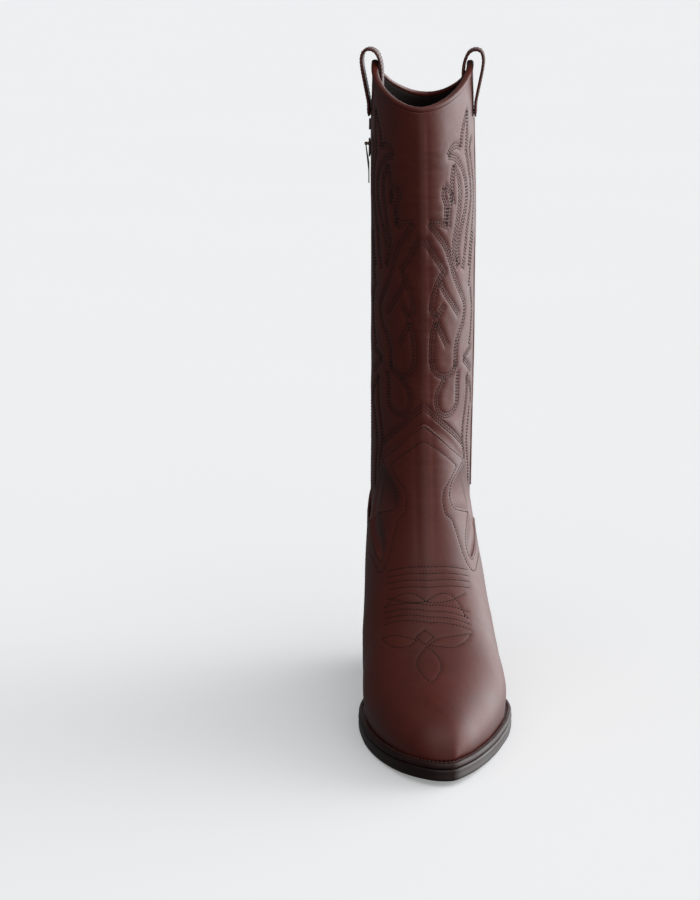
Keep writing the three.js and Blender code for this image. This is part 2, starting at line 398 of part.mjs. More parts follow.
const foreIdx = [...Array(iBreak + 1).keys()].map((k) => M(iBreak - k)).concat([...Array(iBreak + 1).keys()]);
edgeStrip("welt", "welt", foreIdx.filter((k, i, a) => i === 0 || k !== a[i - 1]), .5, 10.2, (y) => zOut(y) + .45, (y) => zFeather(y) - (y < -10 ? .35 : .9));
const backIdx = [...Array(n - iBreak).keys()].map((k) => iBreak + k).concat([...Array(n - iBreak).keys()].map((k) => M(n - 1 - k)));
edgeStrip("heel_rand", "welt", backIdx, .6, 5.5, (y) => zOut(y) + (y > 120 ? 1.3 : .8), (y) => zFeather(y) - (y > 110 ? 2.7 : 2.2)).position.set(0, .35, 0);
add("insole_board", drill(plate(10.6, -200, 200, (y) => zFeather(y) - 1.8, (y) => zFeather(y) - .2)), "board");
add("sock_liner", plate(11.2, -200, 200, (y) => zFeather(y) + .15, (y) => zFeather(y) + 1.3), "lining");
add("cork_filler", plate(11.2, -200, -14, (y) => zOut(y) + .3, (y) => zFeather(y) - 2.1), "cork");
add("steel_shank", plate(14, -10, 86, (y) => zOut(y) + .3, (y) => zFeather(y) - 2.1, [X_HEEL - 7, X_HEEL + 7]), "steel");
NAILS.forEach(([x, y], k) => {
  const h = nailHigh(y), c = new THREE.CylinderGeometry(NAIL_R, NAIL_R * .45, h - NAIL_LOW, 8); c.rotateX(Math.PI / 2); c.translate(x, y, (h + NAIL_LOW) / 2);
  add("heel_nail_" + (k + 1), c, "steel");
});

// heel block: stacked leather lifts under a wedge, on a rubber top piece
const HEEL_TOP_Z = 42.5, BREAST_TOP = 70, BREAST_LOW = 77, BACK_TOP = 138.2, BACK_LOW = 127.5;
function heelLoop(z) {
  const t = z / HEEL_TOP_Z, yb = BREAST_LOW + (BREAST_TOP - BREAST_LOW) * t, ye = BACK_LOW + (BACK_TOP - BACK_LOW) * t ** 1.4;
  const s = .9 + .1 * t ** 1.6, pts = [];
  const ys = [0, .16, .34, .52, .68, .8, .9, .96, .99, 1];
  const at = (f) => { const y = yb + (ye - yb) * f, yy = BREAST_TOP + (BACK_TOP - BREAST_TOP) * f, L = widthAt(loop0, Math.min(yy, 138.4)); return [y, (L[0] - X_HEEL) * s, (L[1] - X_HEEL) * s]; };
  for (const f of ys) { const [y, , b] = at(f); pts.push([X_HEEL + b - .5, y]); }
  for (const f of ys.slice().reverse()) { const [y, a] = at(f); pts.push([X_HEEL + a + .5, y]); }
  const wM = at(0)[1], wL = at(0)[2];
  for (const k of [.25, .5, .75]) pts.push([X_HEEL + wM + (wL - wM) * k, yb + 3.2 * (1 - (2 * k - 1) ** 2)]);
  return pts;
}
function heelSlice(z0, z1) {
  const a = heelLoop(typeof z0 === "number" ? z0 : 33), b = heelLoop(typeof z1 === "number" ? z1 : 42), t = [];
  const za = (p) => (typeof z0 === "number" ? z0 : z0(p[1])), zb = (p) => (typeof z1 === "number" ? z1 : z1(p[1]));
  const A = a.map((p) => [p[0], p[1], za(p)]), B = b.map((p) => [p[0], p[1], zb(p)]), N = A.length;
  for (let i = 0; i < N; i++) { const j = (i + 1) % N; t.push([A[i], A[j], B[j]], [A[i], B[j], B[i]]); }
  for (const f of THREE.ShapeUtils.triangulateShape(a.map((p) => new THREE.Vector2(...p)), [])) { t.push([A[f[0]], A[f[2]], A[f[1]]]); t.push([B[f[0]], B[f[1]], B[f[2]]]); }
  return geometry(t);
}
add("heel_top_piece", heelSlice(0, 5.6), "rubber");
const LIFTS = [[5.9, 11.1], [11.4, 16.6], [16.9, 22.1], [22.4, 27.6], [27.9, 32.4]];
LIFTS.forEach(([a, b], k) => add("heel_lift_" + (k + 1), b > NAIL_LOW - .4 ? drill(heelSlice(a, b)) : heelSlice(a, b), "sole"));
{
  // wedge between the level lifts and the sloping seat: cut from a block by the seat profile
  const block = toManifold(heelSlice(32.7, 46));
  const cutter = plate(-30, 40, 160, (y) => zBottom(y) - .3, () => 80);
  add("heel_wedge", drill(fromManifold(block.subtract(toManifold(cutter)))), "sole");
}

// ---------------------------------------------------------------- collar binding
function sweep(name, mat, path, ring) {
  const t = [], R = path.map((f) => ring.map(([a, b]) => [f.o.x + f.n.x * a + f.b.x * b, f.o.y + f.n.y * a + f.b.y * b, f.o.z + f.n.z * a + f.b.z * b])), N = ring.length;
  for (let i = 0; i + 1 < R.length; i++) for (let k = 0; k < N; k++) { const m = (k + 1) % N; t.push([R[i][k], R[i + 1][k], R[i + 1][m]], [R[i][k], R[i + 1][m], R[i][m]]); }
  for (let k = 1; k + 1 < N; k++) { t.push([R[0][0], R[0][k], R[0][k + 1]]); const e = R[R.length - 1]; t.push([e[0], e[k + 1], e[k]]); }
  return add(name, t, mat);
}
function collarPath(ws) {
  return ws.map((w) => {
    const ww = w > 1 ? w - 2 : w, z = collarZ(ww), u = uAtZ(ww, z), v = toV(u, ww), nn = normalAt(u, v); nn.z = 0; nn.normalize();
    return { o: P(u, v, 0).add(new THREE.Vector3(0, 0, 2.05)), n: nn, b: new THREE.Vector3(0, 0, 1) };
  });
}
const BEAD = [[.45, -.2], [-.2, 1.5], [-1.9, 2.1], [-3.5, 1.5], [-4.15, -.2], [-3.6, -1.6], [-.1, -1.6]];
const span = (a, b, k) => [...Array(k + 1).keys()].map((i) => a + (b - a) * i / k);
sweep("collar_binding_front", "trim", collarPath([-.495, -.43, -.35, -.26, -.17, -.09, -.035, 0, .035, .09, .17, .26, .35, .43, .495]), BEAD);
sweep("collar_binding_back", "trim", collarPath([.505, .57, .66, .75, .84, .92, .97, 1, 1.03, 1.08, 1.16, 1.25, 1.34, 1.43, 1.495]), BEAD);

// ---------------------------------------------------------------- side seam piping and zip
sweep("lateral_seam_piping", "trim", [150, 170, 200, 240, 280, 320, 360, 394].map((z) => sideFrame(z, 1)), [[.35, -1.5], [1.35, -.7], [1.35, .7], [.35, 1.5]]);
sweep("medial_seam_cover", "trim", [388, 391, 395].map((z) => sideFrame(z, -1)), [[.35, -4.2], [1.35, -3.4], [1.35, 3.4], [.35, 4.2]]);
function bar(name, mat, z0, z1, a0, a1, b0, b1) {
  const C = [[a0, b0], [a1, b0], [a1, b1], [a0, b1]], lo = C.map(([a, b]) => A3(zipAt(z0, a, b))), hi = C.map(([a, b]) => A3(zipAt(z1, a, b))), t = [];
  for (let k = 0; k < 4; k++) { const m = (k + 1) % 4; t.push([lo[k], lo[m], hi[m]], [lo[k], hi[m], hi[k]]); }
  t.push([lo[0], lo[2], lo[1]], [lo[0], lo[3], lo[2]], [hi[0], hi[1], hi[2]], [hi[0], hi[2], hi[3]]);
  return name ? add(name, t, mat) : geometry(t);
}
// plate with the outline [z, a] across the zip, from b0 to b1; the outline is split into strips between its two faces
function zipPlate(side, b0, b1) {
  const h = side.length / 2, t = [], at = (i, b) => A3(zipAt(side[i][0], side[i][1], b)), n = side.length;
  for (let k = 0; k < n; k++) { const m = (k + 1) % n; t.push([at(k, b0), at(m, b0), at(m, b1)], [at(k, b0), at(m, b1), at(k, b1)]); }
  for (let k = 0; k + 1 < h; k++) {
    const q = [k, k + 1, n - 2 - k, n - 1 - k];
    t.push([at(q[0], b0), at(q[2], b0), at(q[1], b0)], [at(q[0], b0), at(q[3], b0), at(q[2], b0)], [at(q[0], b1), at(q[1], b1), at(q[2], b1)], [at(q[0], b1), at(q[2], b1), at(q[3], b1)]);
  }
  return geometry(t);
}
bar("zip_teeth_front", "metal", ZIP_BOTTOM, ZIP_TOP, -1.5, -.35, .8, 2.3);
bar("zip_teeth_back", "metal", ZIP_BOTTOM, ZIP_TOP, -1.5, -.35, -2.3, -.8);
bar("zip_tape_front", "tape", ZIP_BOTTOM - 2, ZIP_TOP + 2, -2.75, -2.3, 2.75, 6.2);
bar("zip_tape_back", "tape", ZIP_BOTTOM - 2, ZIP_TOP + 2, -2.75, -2.3, -6.2, -2.75);
bar("zip_bottom_stop", "metal", ZIP_BOTTOM - 4.2, ZIP_BOTTOM - .4, -1.6, -.2, -2.4, 2.4);
bar("zip_top_stop_front", "metal", ZIP_TOP + .4, ZIP_TOP + 2.6, -1.6, -.2, .7, 2.4);
bar("zip_top_stop_back", "metal", ZIP_TOP + .4, ZIP_TOP + 2.6, -1.6, -.2, -2.4, -.7);
{
  // slider: outer plate, post between the teeth and inner plate, with a bridge for the puller
  let s = toManifold(bar(null, null, 370, 382, .3, 1.5, -3.9, 3.9));
  s = s.add(toManifold(bar(null, null, 371, 381, -2.6, .8, -.45, .45)));
  s = s.add(toManifold(bar(null, null, 371, 381, -2.75, -1.95, -2.1, 2.1)));
  for (const b of [-1, 1]) s = s.add(toManifold(bar(null, null, 377.7, 379.3, 1.2, 3.7, b * 2.4 - .5, b * 2.4 + .5)));
  s = s.add(toManifold(bar(null, null, 378.2, 378.8, 2.9, 3.5, -2.6, 2.6)));
  add("zip_slider", fromManifold(s), "metal");
}
{
  // puller: an eye round the bridge and a flat tab hanging from it
  const eye = toManifold(bar(null, null, 377.4, 379.6, 2.1, 4.3, -1.5, 1.5)).subtract(toManifold(bar(null, null, 377.95, 379.05, 2.65, 3.75, -4, 4)));
  const side = [[377.35, 3.6], [376, 3.5], [370.5, 2.6], [365.5, 1.75], [352, 1.7], [352, .9], [365.5, .95], [370.5, 1.8], [376, 2.7], [377.35, 2.8]];
  const tab = toManifold(zipPlate(side, -3.4, 3.4)).subtract(toManifold(bar(null, null, 355, 360, 0, 8, -1.6, 1.6)));
  const p = tab.add(toManifold(bar(null, null, 376.6, 377.7, 2.95, 3.45, -1.3, 1.3))).add(eye);
  add("zip_puller", fromManifold(p), "metal");
}

// ---------------------------------------------------------------- pull straps
// centre line of a loop in (outwards, height); it starts above the outer anchor and ends above the inner one
function strap(side, sgn) {
  const F = sideFrame(424, sgn), base = F.o, n2 = F.n, b2 = F.b;
  const at = (a, z, b) => { const s = sideFrame(Math.min(z, 424), sgn).o; return new THREE.Vector3(s.x, s.y, z).addScaledVector(n2, a).addScaledVector(b2, b); };
  const ribbon = (name, pts, w) => {
    const t = [], R = pts.map(([a, z, k], i) => {
      const p = pts[Math.max(0, i - 1)], q = pts[Math.min(pts.length - 1, i + 1)], dx = q[0] - p[0], dz = q[1] - p[1], l = Math.hypot(dx, dz), nx = dz / l * STRAP_T / 2, nz = -dx / l * STRAP_T / 2, ww = (k ?? w) / 2;
      return [[a + nx, z + nz, -ww], [a + nx, z + nz, ww], [a - nx, z - nz, ww], [a - nx, z - nz, -ww]].map(([x, y, b]) => { const o = new THREE.Vector3(base.x, base.y, y).addScaledVector(n2, x).addScaledVector(b2, b); return A3(o); });
    });
    for (let i = 0; i + 1 < R.length; i++) for (let k = 0; k < 4; k++) { const m = (k + 1) % 4; t.push([R[i][k], R[i + 1][k], R[i + 1][m]], [R[i][k], R[i + 1][m], R[i][m]]); }
    t.push([R[0][0], R[0][1], R[0][2]], [R[0][0], R[0][2], R[0][3]]); const e = R[R.length - 1]; t.push([e[2], e[1], e[0]], [e[3], e[2], e[0]]);
    return add(name, t, "trim");
  };
  ribbon("pull_strap_" + side, [[1.9, 406.6], [3.2, 413], [4.8, 421], [6.3, 429], [6.7, 435], [5.2, 439.6], [1.6, 441], [-2.4, 439.4], [-5.0, 435], [-6.3, 429], [-6.5, 420], [-6.3, 409.5]], STRAP_W);
  ribbon("strap_anchor_" + side, [[1.9, 397], [1.8, 401], [1.9, 406]], STRAP_W);
  ribbon("strap_tab_inside_" + side, [[-6.0, 397], [-5.9, 402], [-6.1, 407]], STRAP_W);
  return { F, at };
}
strap("lateral", 1);
strap("medial", -1);

export default group;
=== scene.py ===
import math
import random
import bpy
import bmesh
import numpy as np
from mathutils import Vector, Matrix
from mathutils.geometry import delaunay_2d_cdt
from mathutils.kdtree import KDTree


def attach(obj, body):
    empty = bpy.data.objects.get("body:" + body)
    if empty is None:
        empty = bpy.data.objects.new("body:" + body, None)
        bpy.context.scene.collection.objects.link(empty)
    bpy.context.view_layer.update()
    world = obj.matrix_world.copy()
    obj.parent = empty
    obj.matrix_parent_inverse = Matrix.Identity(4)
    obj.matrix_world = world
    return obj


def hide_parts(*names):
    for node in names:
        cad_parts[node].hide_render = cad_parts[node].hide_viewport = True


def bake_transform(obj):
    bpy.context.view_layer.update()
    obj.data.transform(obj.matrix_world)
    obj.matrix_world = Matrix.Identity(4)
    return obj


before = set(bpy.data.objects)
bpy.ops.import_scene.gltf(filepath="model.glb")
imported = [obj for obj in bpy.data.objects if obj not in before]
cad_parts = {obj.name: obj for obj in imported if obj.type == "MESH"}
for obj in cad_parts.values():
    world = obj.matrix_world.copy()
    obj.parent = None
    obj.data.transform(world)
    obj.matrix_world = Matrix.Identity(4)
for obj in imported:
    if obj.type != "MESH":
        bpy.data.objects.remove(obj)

random.seed(7)
rng = np.random.default_rng(7)
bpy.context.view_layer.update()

# ------------------------------------------------------------------ the last, in millimetres
X_HEEL = -5.5
AXIS_Y = 62.8
TURN = -5.2
toe_shift = lambda y: 4.7 * np.maximum(0, (-40 - np.asarray(y, float)) / 94) ** 2
ST = np.array([
 [-134,16,-134,15.6,0,0,0,0,.74,.90,2],[-133.2,22.4,-132.8,15.5,7.9,5.9,7.5,5.5,.74,.90,2],[-131,28,-129.5,15.2,13.9,9.9,13.1,9.1,.74,.90,2],
 [-126.5,33.4,-124,14.7,19.4,14.7,18.4,13.7,.74,.92,2],[-118.5,38.4,-115,14,25,21.2,23.8,20.1,.74,.94,2],[-107,43.2,-102,13.15,30.7,28.5,29.4,27.4,.74,.96,2],
 [-92,49,-86,12.5,35.7,36.5,34.4,35.4,.74,.98,2],[-75,57,-67,12.1,39.8,44.1,38.6,42.9,.74,1.0,2],[-58,66.8,-46,12,42.5,50.3,40.8,49.3,.73,1.02,2],
 [-42,79,-22,12.2,42.8,50.8,40.6,50.4,.71,1.05,2],[-28,93.5,6,15,41.4,47.6,35.4,46,.67,1.08,2],[-16,110,38,26,39.2,43.2,29.2,38.2,.62,1.10,2],
 [-6,129,72,43.5,37.4,39.8,27.6,32.4,.57,1.12,1.9],[1.5,150,103,50.3,36.2,37,28.6,29.6,.53,1.14,1.5],[6.5,172,122,51.7,35,35,21.3,21.8,.50,1.16,1.05],
 [9,196,134.2,53.2,34.65,34.4,0,0,.50,1.18,.74],[8.5,220,136,98,34.55,34.4,0,0,.50,1.20,.82],[6,247,129,160,34.6,34.6,0,0,.50,1.20,.96],
 [2,277,127,220,34.75,35,0,0,.50,1.20,1.08],[-2.5,310,128.5,275,34.9,34.8,0,0,.50,1.20,1.20],[-6.5,345,130.5,325,34.95,34.9,0,0,.50,1.20,1.20],
 [-9.5,380,132.5,370,35.1,34,0,0,.50,1.20,1.20],[-11,410,133.8,407,34.6,33.2,0,0,.50,1.20,1.20],[-11.5,436,134.5,436,34.2,32.6,0,0,.50,1.20,1.20]], float)

def natural(y):
    n = len(y); A = np.zeros((n, n)); r = np.zeros(n); A[0, 0] = A[-1, -1] = 1
    for i in range(1, n - 1):
        A[i, i - 1] = 1; A[i, i] = 4; A[i, i + 1] = 1; r[i] = 6 * (y[i + 1] - 2 * y[i] + y[i - 1])
    return np.linalg.solve(A, r)
SM = np.stack([natural(ST[:, k]) for k in range(11)], 1)
def station(u):
    i = min(int(u), 22); t = u - i; a = 1 - t
    return a * ST[i] + t * ST[i + 1] + ((a ** 3 - a) * SM[i] + (t ** 3 - t) * SM[i + 1]) / 6
NV = 160
def half_row(u, sgn):
    Ty, Tz, Ey, Ez, Wm, Wl, fm, fl, qw, pT, eE = station(u)
    W = max(Wl if sgn > 0 else Wm, 0); f = max(fl if sgn > 0 else fm, 0)
    if u >= 15: f = 0
    th = np.linspace(0, np.pi / 2, 160)
    x1 = W * np.sin(th) ** pT; q1 = qw * (1 - np.cos(th)); ph = th[1:]
    x2 = f + (W - f) * np.maximum(np.cos(ph), 0) ** eE; q2 = qw + (1 - qw) * np.sin(ph)
    x = np.concatenate([x1, x2]) * sgn; q = np.concatenate([q1, q2])
    P = np.stack([x, Ty + (Ey - Ty) * q, Tz + (Ez - Tz) * q], -1)
    d = np.r_[0, np.cumsum(np.linalg.norm(np.diff(P, axis=0), axis=1))]; L = d[-1]
    s = np.linspace(0, 1, NV + 1) * L
    return np.stack([np.interp(s, d, P[:, k]) for k in range(3)], -1), L
DU = .02
US = np.arange(0, 23 + DU / 2, DU); NU = len(US)
G = np.zeros((NU, 2 * NV + 1, 3)); LEN = np.zeros((NU, 2))
for i, u in enumerate(US):
    a, la = half_row(min(u, 23), -1); b, lb = half_row(min(u, 23), 1)
    G[i, :NV + 1] = a[::-1]; G[i, NV:] = b; LEN[i] = la, lb
_t = np.clip((G[..., 2] - 95) / 315, 0, 1.1); _a = np.radians(TURN * _t); _x = G[..., 0]; _y = G[..., 1] - AXIS_Y; _s = toe_shift(G[..., 1])
G = np.stack([_x * np.cos(_a) - _y * np.sin(_a) + X_HEEL + _s, _x * np.sin(_a) + _y * np.cos(_a) + AXIS_Y, G[..., 2]], -1)
_du = np.gradient(G, axis=0); _dv = np.gradient(G, axis=1)
_i15 = int(round(15 / DU))
_dv[_i15:, 0] = _dv[_i15:, -1] = (G[_i15:, 1] - G[_i15:, -2]) / 2
NRM = np.cross(_du, _dv)
NRM[0] = NRM[2]; NRM[1] = NRM[2]
NRM /= np.maximum(np.linalg.norm(NRM, axis=-1, keepdims=True), 1e-12)
if NRM[600, NV] @ np.array([0, -1, .3]) < 0: NRM = -NRM

def bil(T, u, v):
    fu = np.clip(np.asarray(u, float) / DU, 0, NU - 1.0001); fv = np.clip((np.asarray(v, float) + 1) * NV, 0, 2 * NV - .0001)
    fu, fv = np.broadcast_arrays(fu, fv)
    i = fu.astype(int); j = fv.astype(int); a = (fu - i)[..., None]; b = (fv - j)[..., None]
    return (T[i, j] * (1 - a) + T[i + 1, j] * a) * (1 - b) + (T[i, j + 1] * (1 - a) + T[i + 1, j + 1] * a) * b
def P(u, v, off=0):
    """outer surface point, moved outwards by off millimetres"""
    n = bil(NRM, u, v); n = n / np.maximum(np.linalg.norm(n, axis=-1, keepdims=True), 1e-9)
    return bil(G, u, v) + n * np.asarray(off, float)[..., None]
def nrm(u, v):
    n = bil(NRM, u, v); return n / np.maximum(np.linalg.norm(n, axis=-1, keepdims=True), 1e-9)
def halfL(u, sgn):
    return np.where(np.asarray(sgn) < 0, np.interp(u, US, LEN[:, 0]), np.interp(u, US, LEN[:, 1]))
SIDE_U = np.array([0, 10, 11, 12, 13, 14, 15, 16, 17, 18, 23.]); SIDE_V = np.array([.6, .6, .63, .66, .61, .545, .478, .466, .487, .5, .5])
side_v = lambda u: np.interp(u, SIDE_U, SIDE_V)
def toV(u, w):
    s = side_v(u); a = np.abs(w)
    return np.sign(w) * np.where(a <= .5, a / .5 * s, s + (a - .5) / .5 * (1 - s))
def collar_z(w):
    a = np.minimum(np.abs(w), 1 - np.abs(w)) / .5
    s = (np.sqrt(a * a + .03) - math.sqrt(.03)) / (math.sqrt(1.03) - math.sqrt(.03))
    return 404 + 26 * s
def bisect(f, lo, hi, n=26):
    for _ in range(n):
        m = (lo + hi) / 2; c = f(m); lo = np.where(c, m, lo); hi = np.where(c, hi, m)
    return (lo + hi) / 2
def u_at(w, z):
    w = np.asarray(w, float); z = np.asarray(z, float)
    return bisect(lambda m: bil(G, m, toV(m, w))[..., 2] < z, np.full(np.broadcast(w, z).shape, 15.), np.full(np.broadcast(w, z).shape, 23.))
def side_frame(z, sgn):
    u = float(u_at(np.array([sgn * .5]), np.array([z]))[0]); v = float(toV(u, sgn * .5))
    n = nrm(u, v).copy(); n[2] = 0; n /= np.linalg.norm(n)
    return P(u, v, 0), n, np.array([-n[1] * sgn, n[0] * sgn, 0])

# zip line
ZT, ZTn, _ = side_frame(375, -1); ZL, ZLn, _ = side_frame(150, -1)
ZDIR = (ZL - ZT) / np.linalg.norm(ZL - ZT)
ZN = (ZTn + ZLn) / np.linalg.norm(ZTn + ZLn); ZN = ZN - ZDIR * (ZN @ ZDIR); ZN /= np.linalg.norm(ZN)
ZB = np.cross(ZDIR, ZN); ZB /= np.linalg.norm(ZB)
if ZB[1] > 0: ZB = -ZB
def zip_at(z, a=0., b=0.):
    z, a, b = np.broadcast_arrays(np.asarray(z, float), np.asarray(a, float), np.asarray(b, float))
    return ZT + ZDIR * ((375 - z) / -ZDIR[2])[..., None] + ZN * a[..., None] + ZB * b[..., None]
def v_at_zip(u, b):
    u = np.asarray(u, float)
    return -bisect(lambda m: (bil(G, u, -m) - ZT) @ ZB > b, np.full(u.shape, .25), np.full(u.shape, .75))

# ------------------------------------------------------------------ helpers
def make(name, verts, faces, mat, body="boot", replaces=(), smooth=True, blend=None, recalc=False):
    me = bpy.data.meshes.new(name)
    me.from_pydata((np.asarray(verts, float) / 1000).tolist(), [], faces if isinstance(faces, list) else faces.tolist())
    me.validate()
    if recalc:
        bm = bmesh.new(); bm.from_mesh(me); bmesh.ops.remove_doubles(bm, verts=bm.verts, dist=1e-6); bmesh.ops.recalc_face_normals(bm, faces=bm.faces); bm.to_mesh(me); bm.free()
    if smooth: me.polygons.foreach_set("use_smooth", [True] * len(me.polygons))
    me.update()
    ob = bpy.data.objects.new(name, me); bpy.context.scene.collection.objects.link(ob)
    for m in (mat if isinstance(mat, (list, tuple)) else [mat]): me.materials.append(m)
    if blend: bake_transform(ob)
    else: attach(ob, body)
    if replaces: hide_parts(*replaces)
    return ob

def grid_faces(nr, nc, base=0, flip=False, wrap=False):
    i = np.arange(nr - 1)[:, None]; j = np.arange(nc if wrap else nc - 1)[None, :]; k = (j + 1) % nc
    a = base + i * nc + j; b = base + i * nc + k; c = base + (i + 1) * nc + k; d = base + (i + 1) * nc + j
    F = np.stack([a, b, c, d] if not flip else [a, d, c, b], -1).reshape(-1, 4)
    return F

def smoothstep(x): x = np.clip(x, 0, 1); return x * x * (3 - 2 * x)
def catmull(pts, step=1.5, closed=False):
    p = np.asarray(pts, float); n = len(p); out = []
    for i in range(n if closed else n - 1):
        g = (lambda k: p[k % n]) if closed else (lambda k: p[min(max(k, 0), n - 1)])
        a, b, c, d = g(i - 1), g(i), g(i + 1), g(i + 2)
        if not closed and i == 0: a = 2 * b - c
        if not closed and i == n - 2: d = 2 * c - b
        m = max(1, int(math.ceil(np.linalg.norm(c - b) / step)))
        ta, tb, tc, td = 0, 1e-6 + np.linalg.norm(b - a) ** .5, 0, 0
        tc = tb + 1e-6 + np.linalg.norm(c - b) ** .5; td = tc + 1e-6 + np.linalg.norm(d - c) ** .5
        for t in np.linspace(tb, tc, m, endpoint=False):
            A1 = (tb - t) / (tb - ta) * a + (t - ta) / (tb - ta) * b; A2 = (tc - t) / (tc - tb) * b + (t - tb) / (tc - tb) * c; A3 = (td - t) / (td - tc) * c + (t - tc) / (td - tc) * d
            B1 = (tc - t) / (tc - ta) * A1 + (t - ta) / (tc - ta) * A2; B2 = (td - t) / (td - tb) * A2 + (t - tb) / (td - tb) * A3
            out.append((tc - t) / (tc - tb) * B1 + (t - tb) / (tc - tb) * B2)
    if not closed: out.append(p[-1])
    return np.array(out)
def resample(p, step, closed=False):
    q = np.vstack([p, p[:1]]) if closed else p
    d = np.r_[0, np.cumsum(np.linalg.norm(np.diff(q, axis=0), axis=1))]; n = max(2, int(round(d[-1] / step)))
    s = np.linspace(0, d[-1], n + 1)
    out = np.stack([np.interp(s, d, q[:, k]) for k in range(q.shape[1])], -1)
    return out[:-1] if closed else out
def in_poly(x, y, poly):
    c = np.zeros(np.shape(x), bool); n = len(poly); j = n - 1
    for i in range(n):
        xi, yi = poly[i]; xj, yj = poly[j]
        if yi != yj: c ^= ((yi > y) != (yj > y)) & (x < (xj - xi) * (y - yi) / (yj - yi) + xi)
        j = i
    return c
def min_dist(A, B, chunk=4000):
    out = np.empty(len(A)); seg0 = B; seg1 = np.roll(B, -1, axis=0); e = seg1 - seg0; ll = np.maximum((e * e).sum(-1), 1e-12)
    for k in range(0, len(A), chunk):
        a = A[k:k + chunk, None]; t = np.clip(((a - seg0) * e).sum(-1) / ll, 0, 1); q = seg0 + e * t[..., None] - a
        out[k:k + chunk] = np.sqrt((q * q).sum(-1)).min(1)
    return out

# value noise in 3-D for the hand-made unevenness of leather
_tab = rng.random((32, 32, 32))
_ROT = np.linalg.qr(rng.normal(size=(3, 3)))[0]
def noise3(p, scale):
    q = (np.asarray(p, float) @ (_ROT if int(scale) % 2 else _ROT.T)) / scale + scale * 1.37; i = np.floor(q).astype(int); f = q - i; f = f * f * f * (f * (6 * f - 15) + 10); i %= 32; r = 0
    for dx in (0, 1):
        for dy in (0, 1):
            for dz in (0, 1):
                w = (f[..., 0] if dx else 1 - f[..., 0]) * (f[..., 1] if dy else 1 - f[..., 1]) * (f[..., 2] if dz else 1 - f[..., 2])
                r = r + w * _tab[(i[..., 0] + dx) % 32, (i[..., 1] + dy) % 32, (i[..., 2] + dz) % 32]
    return r - .5

# ------------------------------------------------------------------ materials
def material(name, colour, rough, build=None, metal=0.0, spec=0.5, coat=0.0, coat_rough=0.2, sheen=0.0, sheen_rough=.5):
    m = bpy.data.materials.new(name); m.use_nodes = True; nt = m.node_tree; b = nt.nodes["Principled BSDF"]
    b.inputs["Base Color"].default_value = (*colour, 1); b.inputs["Roughness"].default_value = rough; b.inputs["Metallic"].default_value = metal
    b.inputs["Specular IOR Level"].default_value = spec; b.inputs["Coat Weight"].default_value = coat; b.inputs["Coat Roughness"].default_value = coat_rough
    b.inputs["Sheen Weight"].default_value = sheen; b.inputs["Sheen Roughness"].default_value = sheen_rough
    if build: build(nt, b)
    return m
class NT:
    """small helper that chains nodes"""
    def __init__(s, nt): s.nt = nt; s.co = nt.nodes.new("ShaderNodeTexCoord").outputs["Object"]
    def n(s, kind, **kw):
        x = s.nt.nodes.new(kind)
        for k, v in kw.items(): setattr(x, k, v)
        return x
    def link(s, a, b): s.nt.links.new(a, b)
    def mapping(s, scale):
        m = s.n("ShaderNodeMapping"); m.inputs["Scale"].default_value = scale; s.link(s.co, m.inputs["Vector"]); return m.outputs["Vector"]
    def noise(s, scale, detail=3, rough=.5, vec=None, dist=0.0):
        x = s.n("ShaderNodeTexNoise"); x.inputs["Scale"].default_value = scale; x.inputs["Detail"].default_value = detail; x.inputs["Roughness"].default_value = rough; x.inputs["Distortion"].default_value = dist
        s.link(vec if vec is not None else s.co, x.inputs["Vector"]); return x.outputs["Fac"]
    def voronoi(s, scale, feature="F1", vec=None, out="Distance"):
        x = s.n("ShaderNodeTexVoronoi", feature=feature); x.inputs["Scale"].default_value = scale; s.link(vec if vec is not None else s.co, x.inputs["Vector"]); return x.outputs[out]
    def ramp(s, fac, stops):
        r = s.n("ShaderNodeValToRGB"); e = r.color_ramp.elements
        while len(e) < len(stops): e.new(.5)
        for k, (p, c) in enumerate(stops): e[k].position = p; e[k].color = (*c, 1) if len(c) == 3 else c
        s.link(fac, r.inputs["Fac"]); return r.outputs["Color"]
    def rng(s, fac, a, b, c, d):
        r = s.n("ShaderNodeMapRange"); 
        for k, v in zip(("From Min", "From Max", "To Min", "To Max"), (a, b, c, d)): r.inputs[k].default_value = v
        s.link(fac, r.inputs["Value"]); return r.outputs["Result"]
    def math(s, op, a, b):
        m = s.n("ShaderNodeMath", operation=op)
        for k, v in enumerate((a, b)):
            if isinstance(v, (int, float)): m.inputs[k].default_value = v
            else: s.link(v, m.inputs[k])
        return m.outputs[0]
    def mix(s, fac, a, b, mode="MIX"):
        m = s.n("ShaderNodeMix", data_type="RGBA", blend_type=mode)
        for idx, v in ((0, fac), (6, a), (7, b)):
            if isinstance(v, (int, float)): m.inputs[idx].default_value = v
            elif isinstance(v, tuple): m.inputs[idx].default_value = (*v, 1)
            else: s.link(v, m.inputs[idx])
        return m.outputs[2]
    def bump(s, h, strength, dist, normal=None):
        b = s.n("ShaderNodeBump"); b.inputs["Strength"].default_value = strength; b.inputs["Distance"].default_value = dist
        s.link(h, b.inputs["Height"])
        if normal is not None: s.link(normal, b.inputs["Normal"])
        return b.outputs["Normal"]

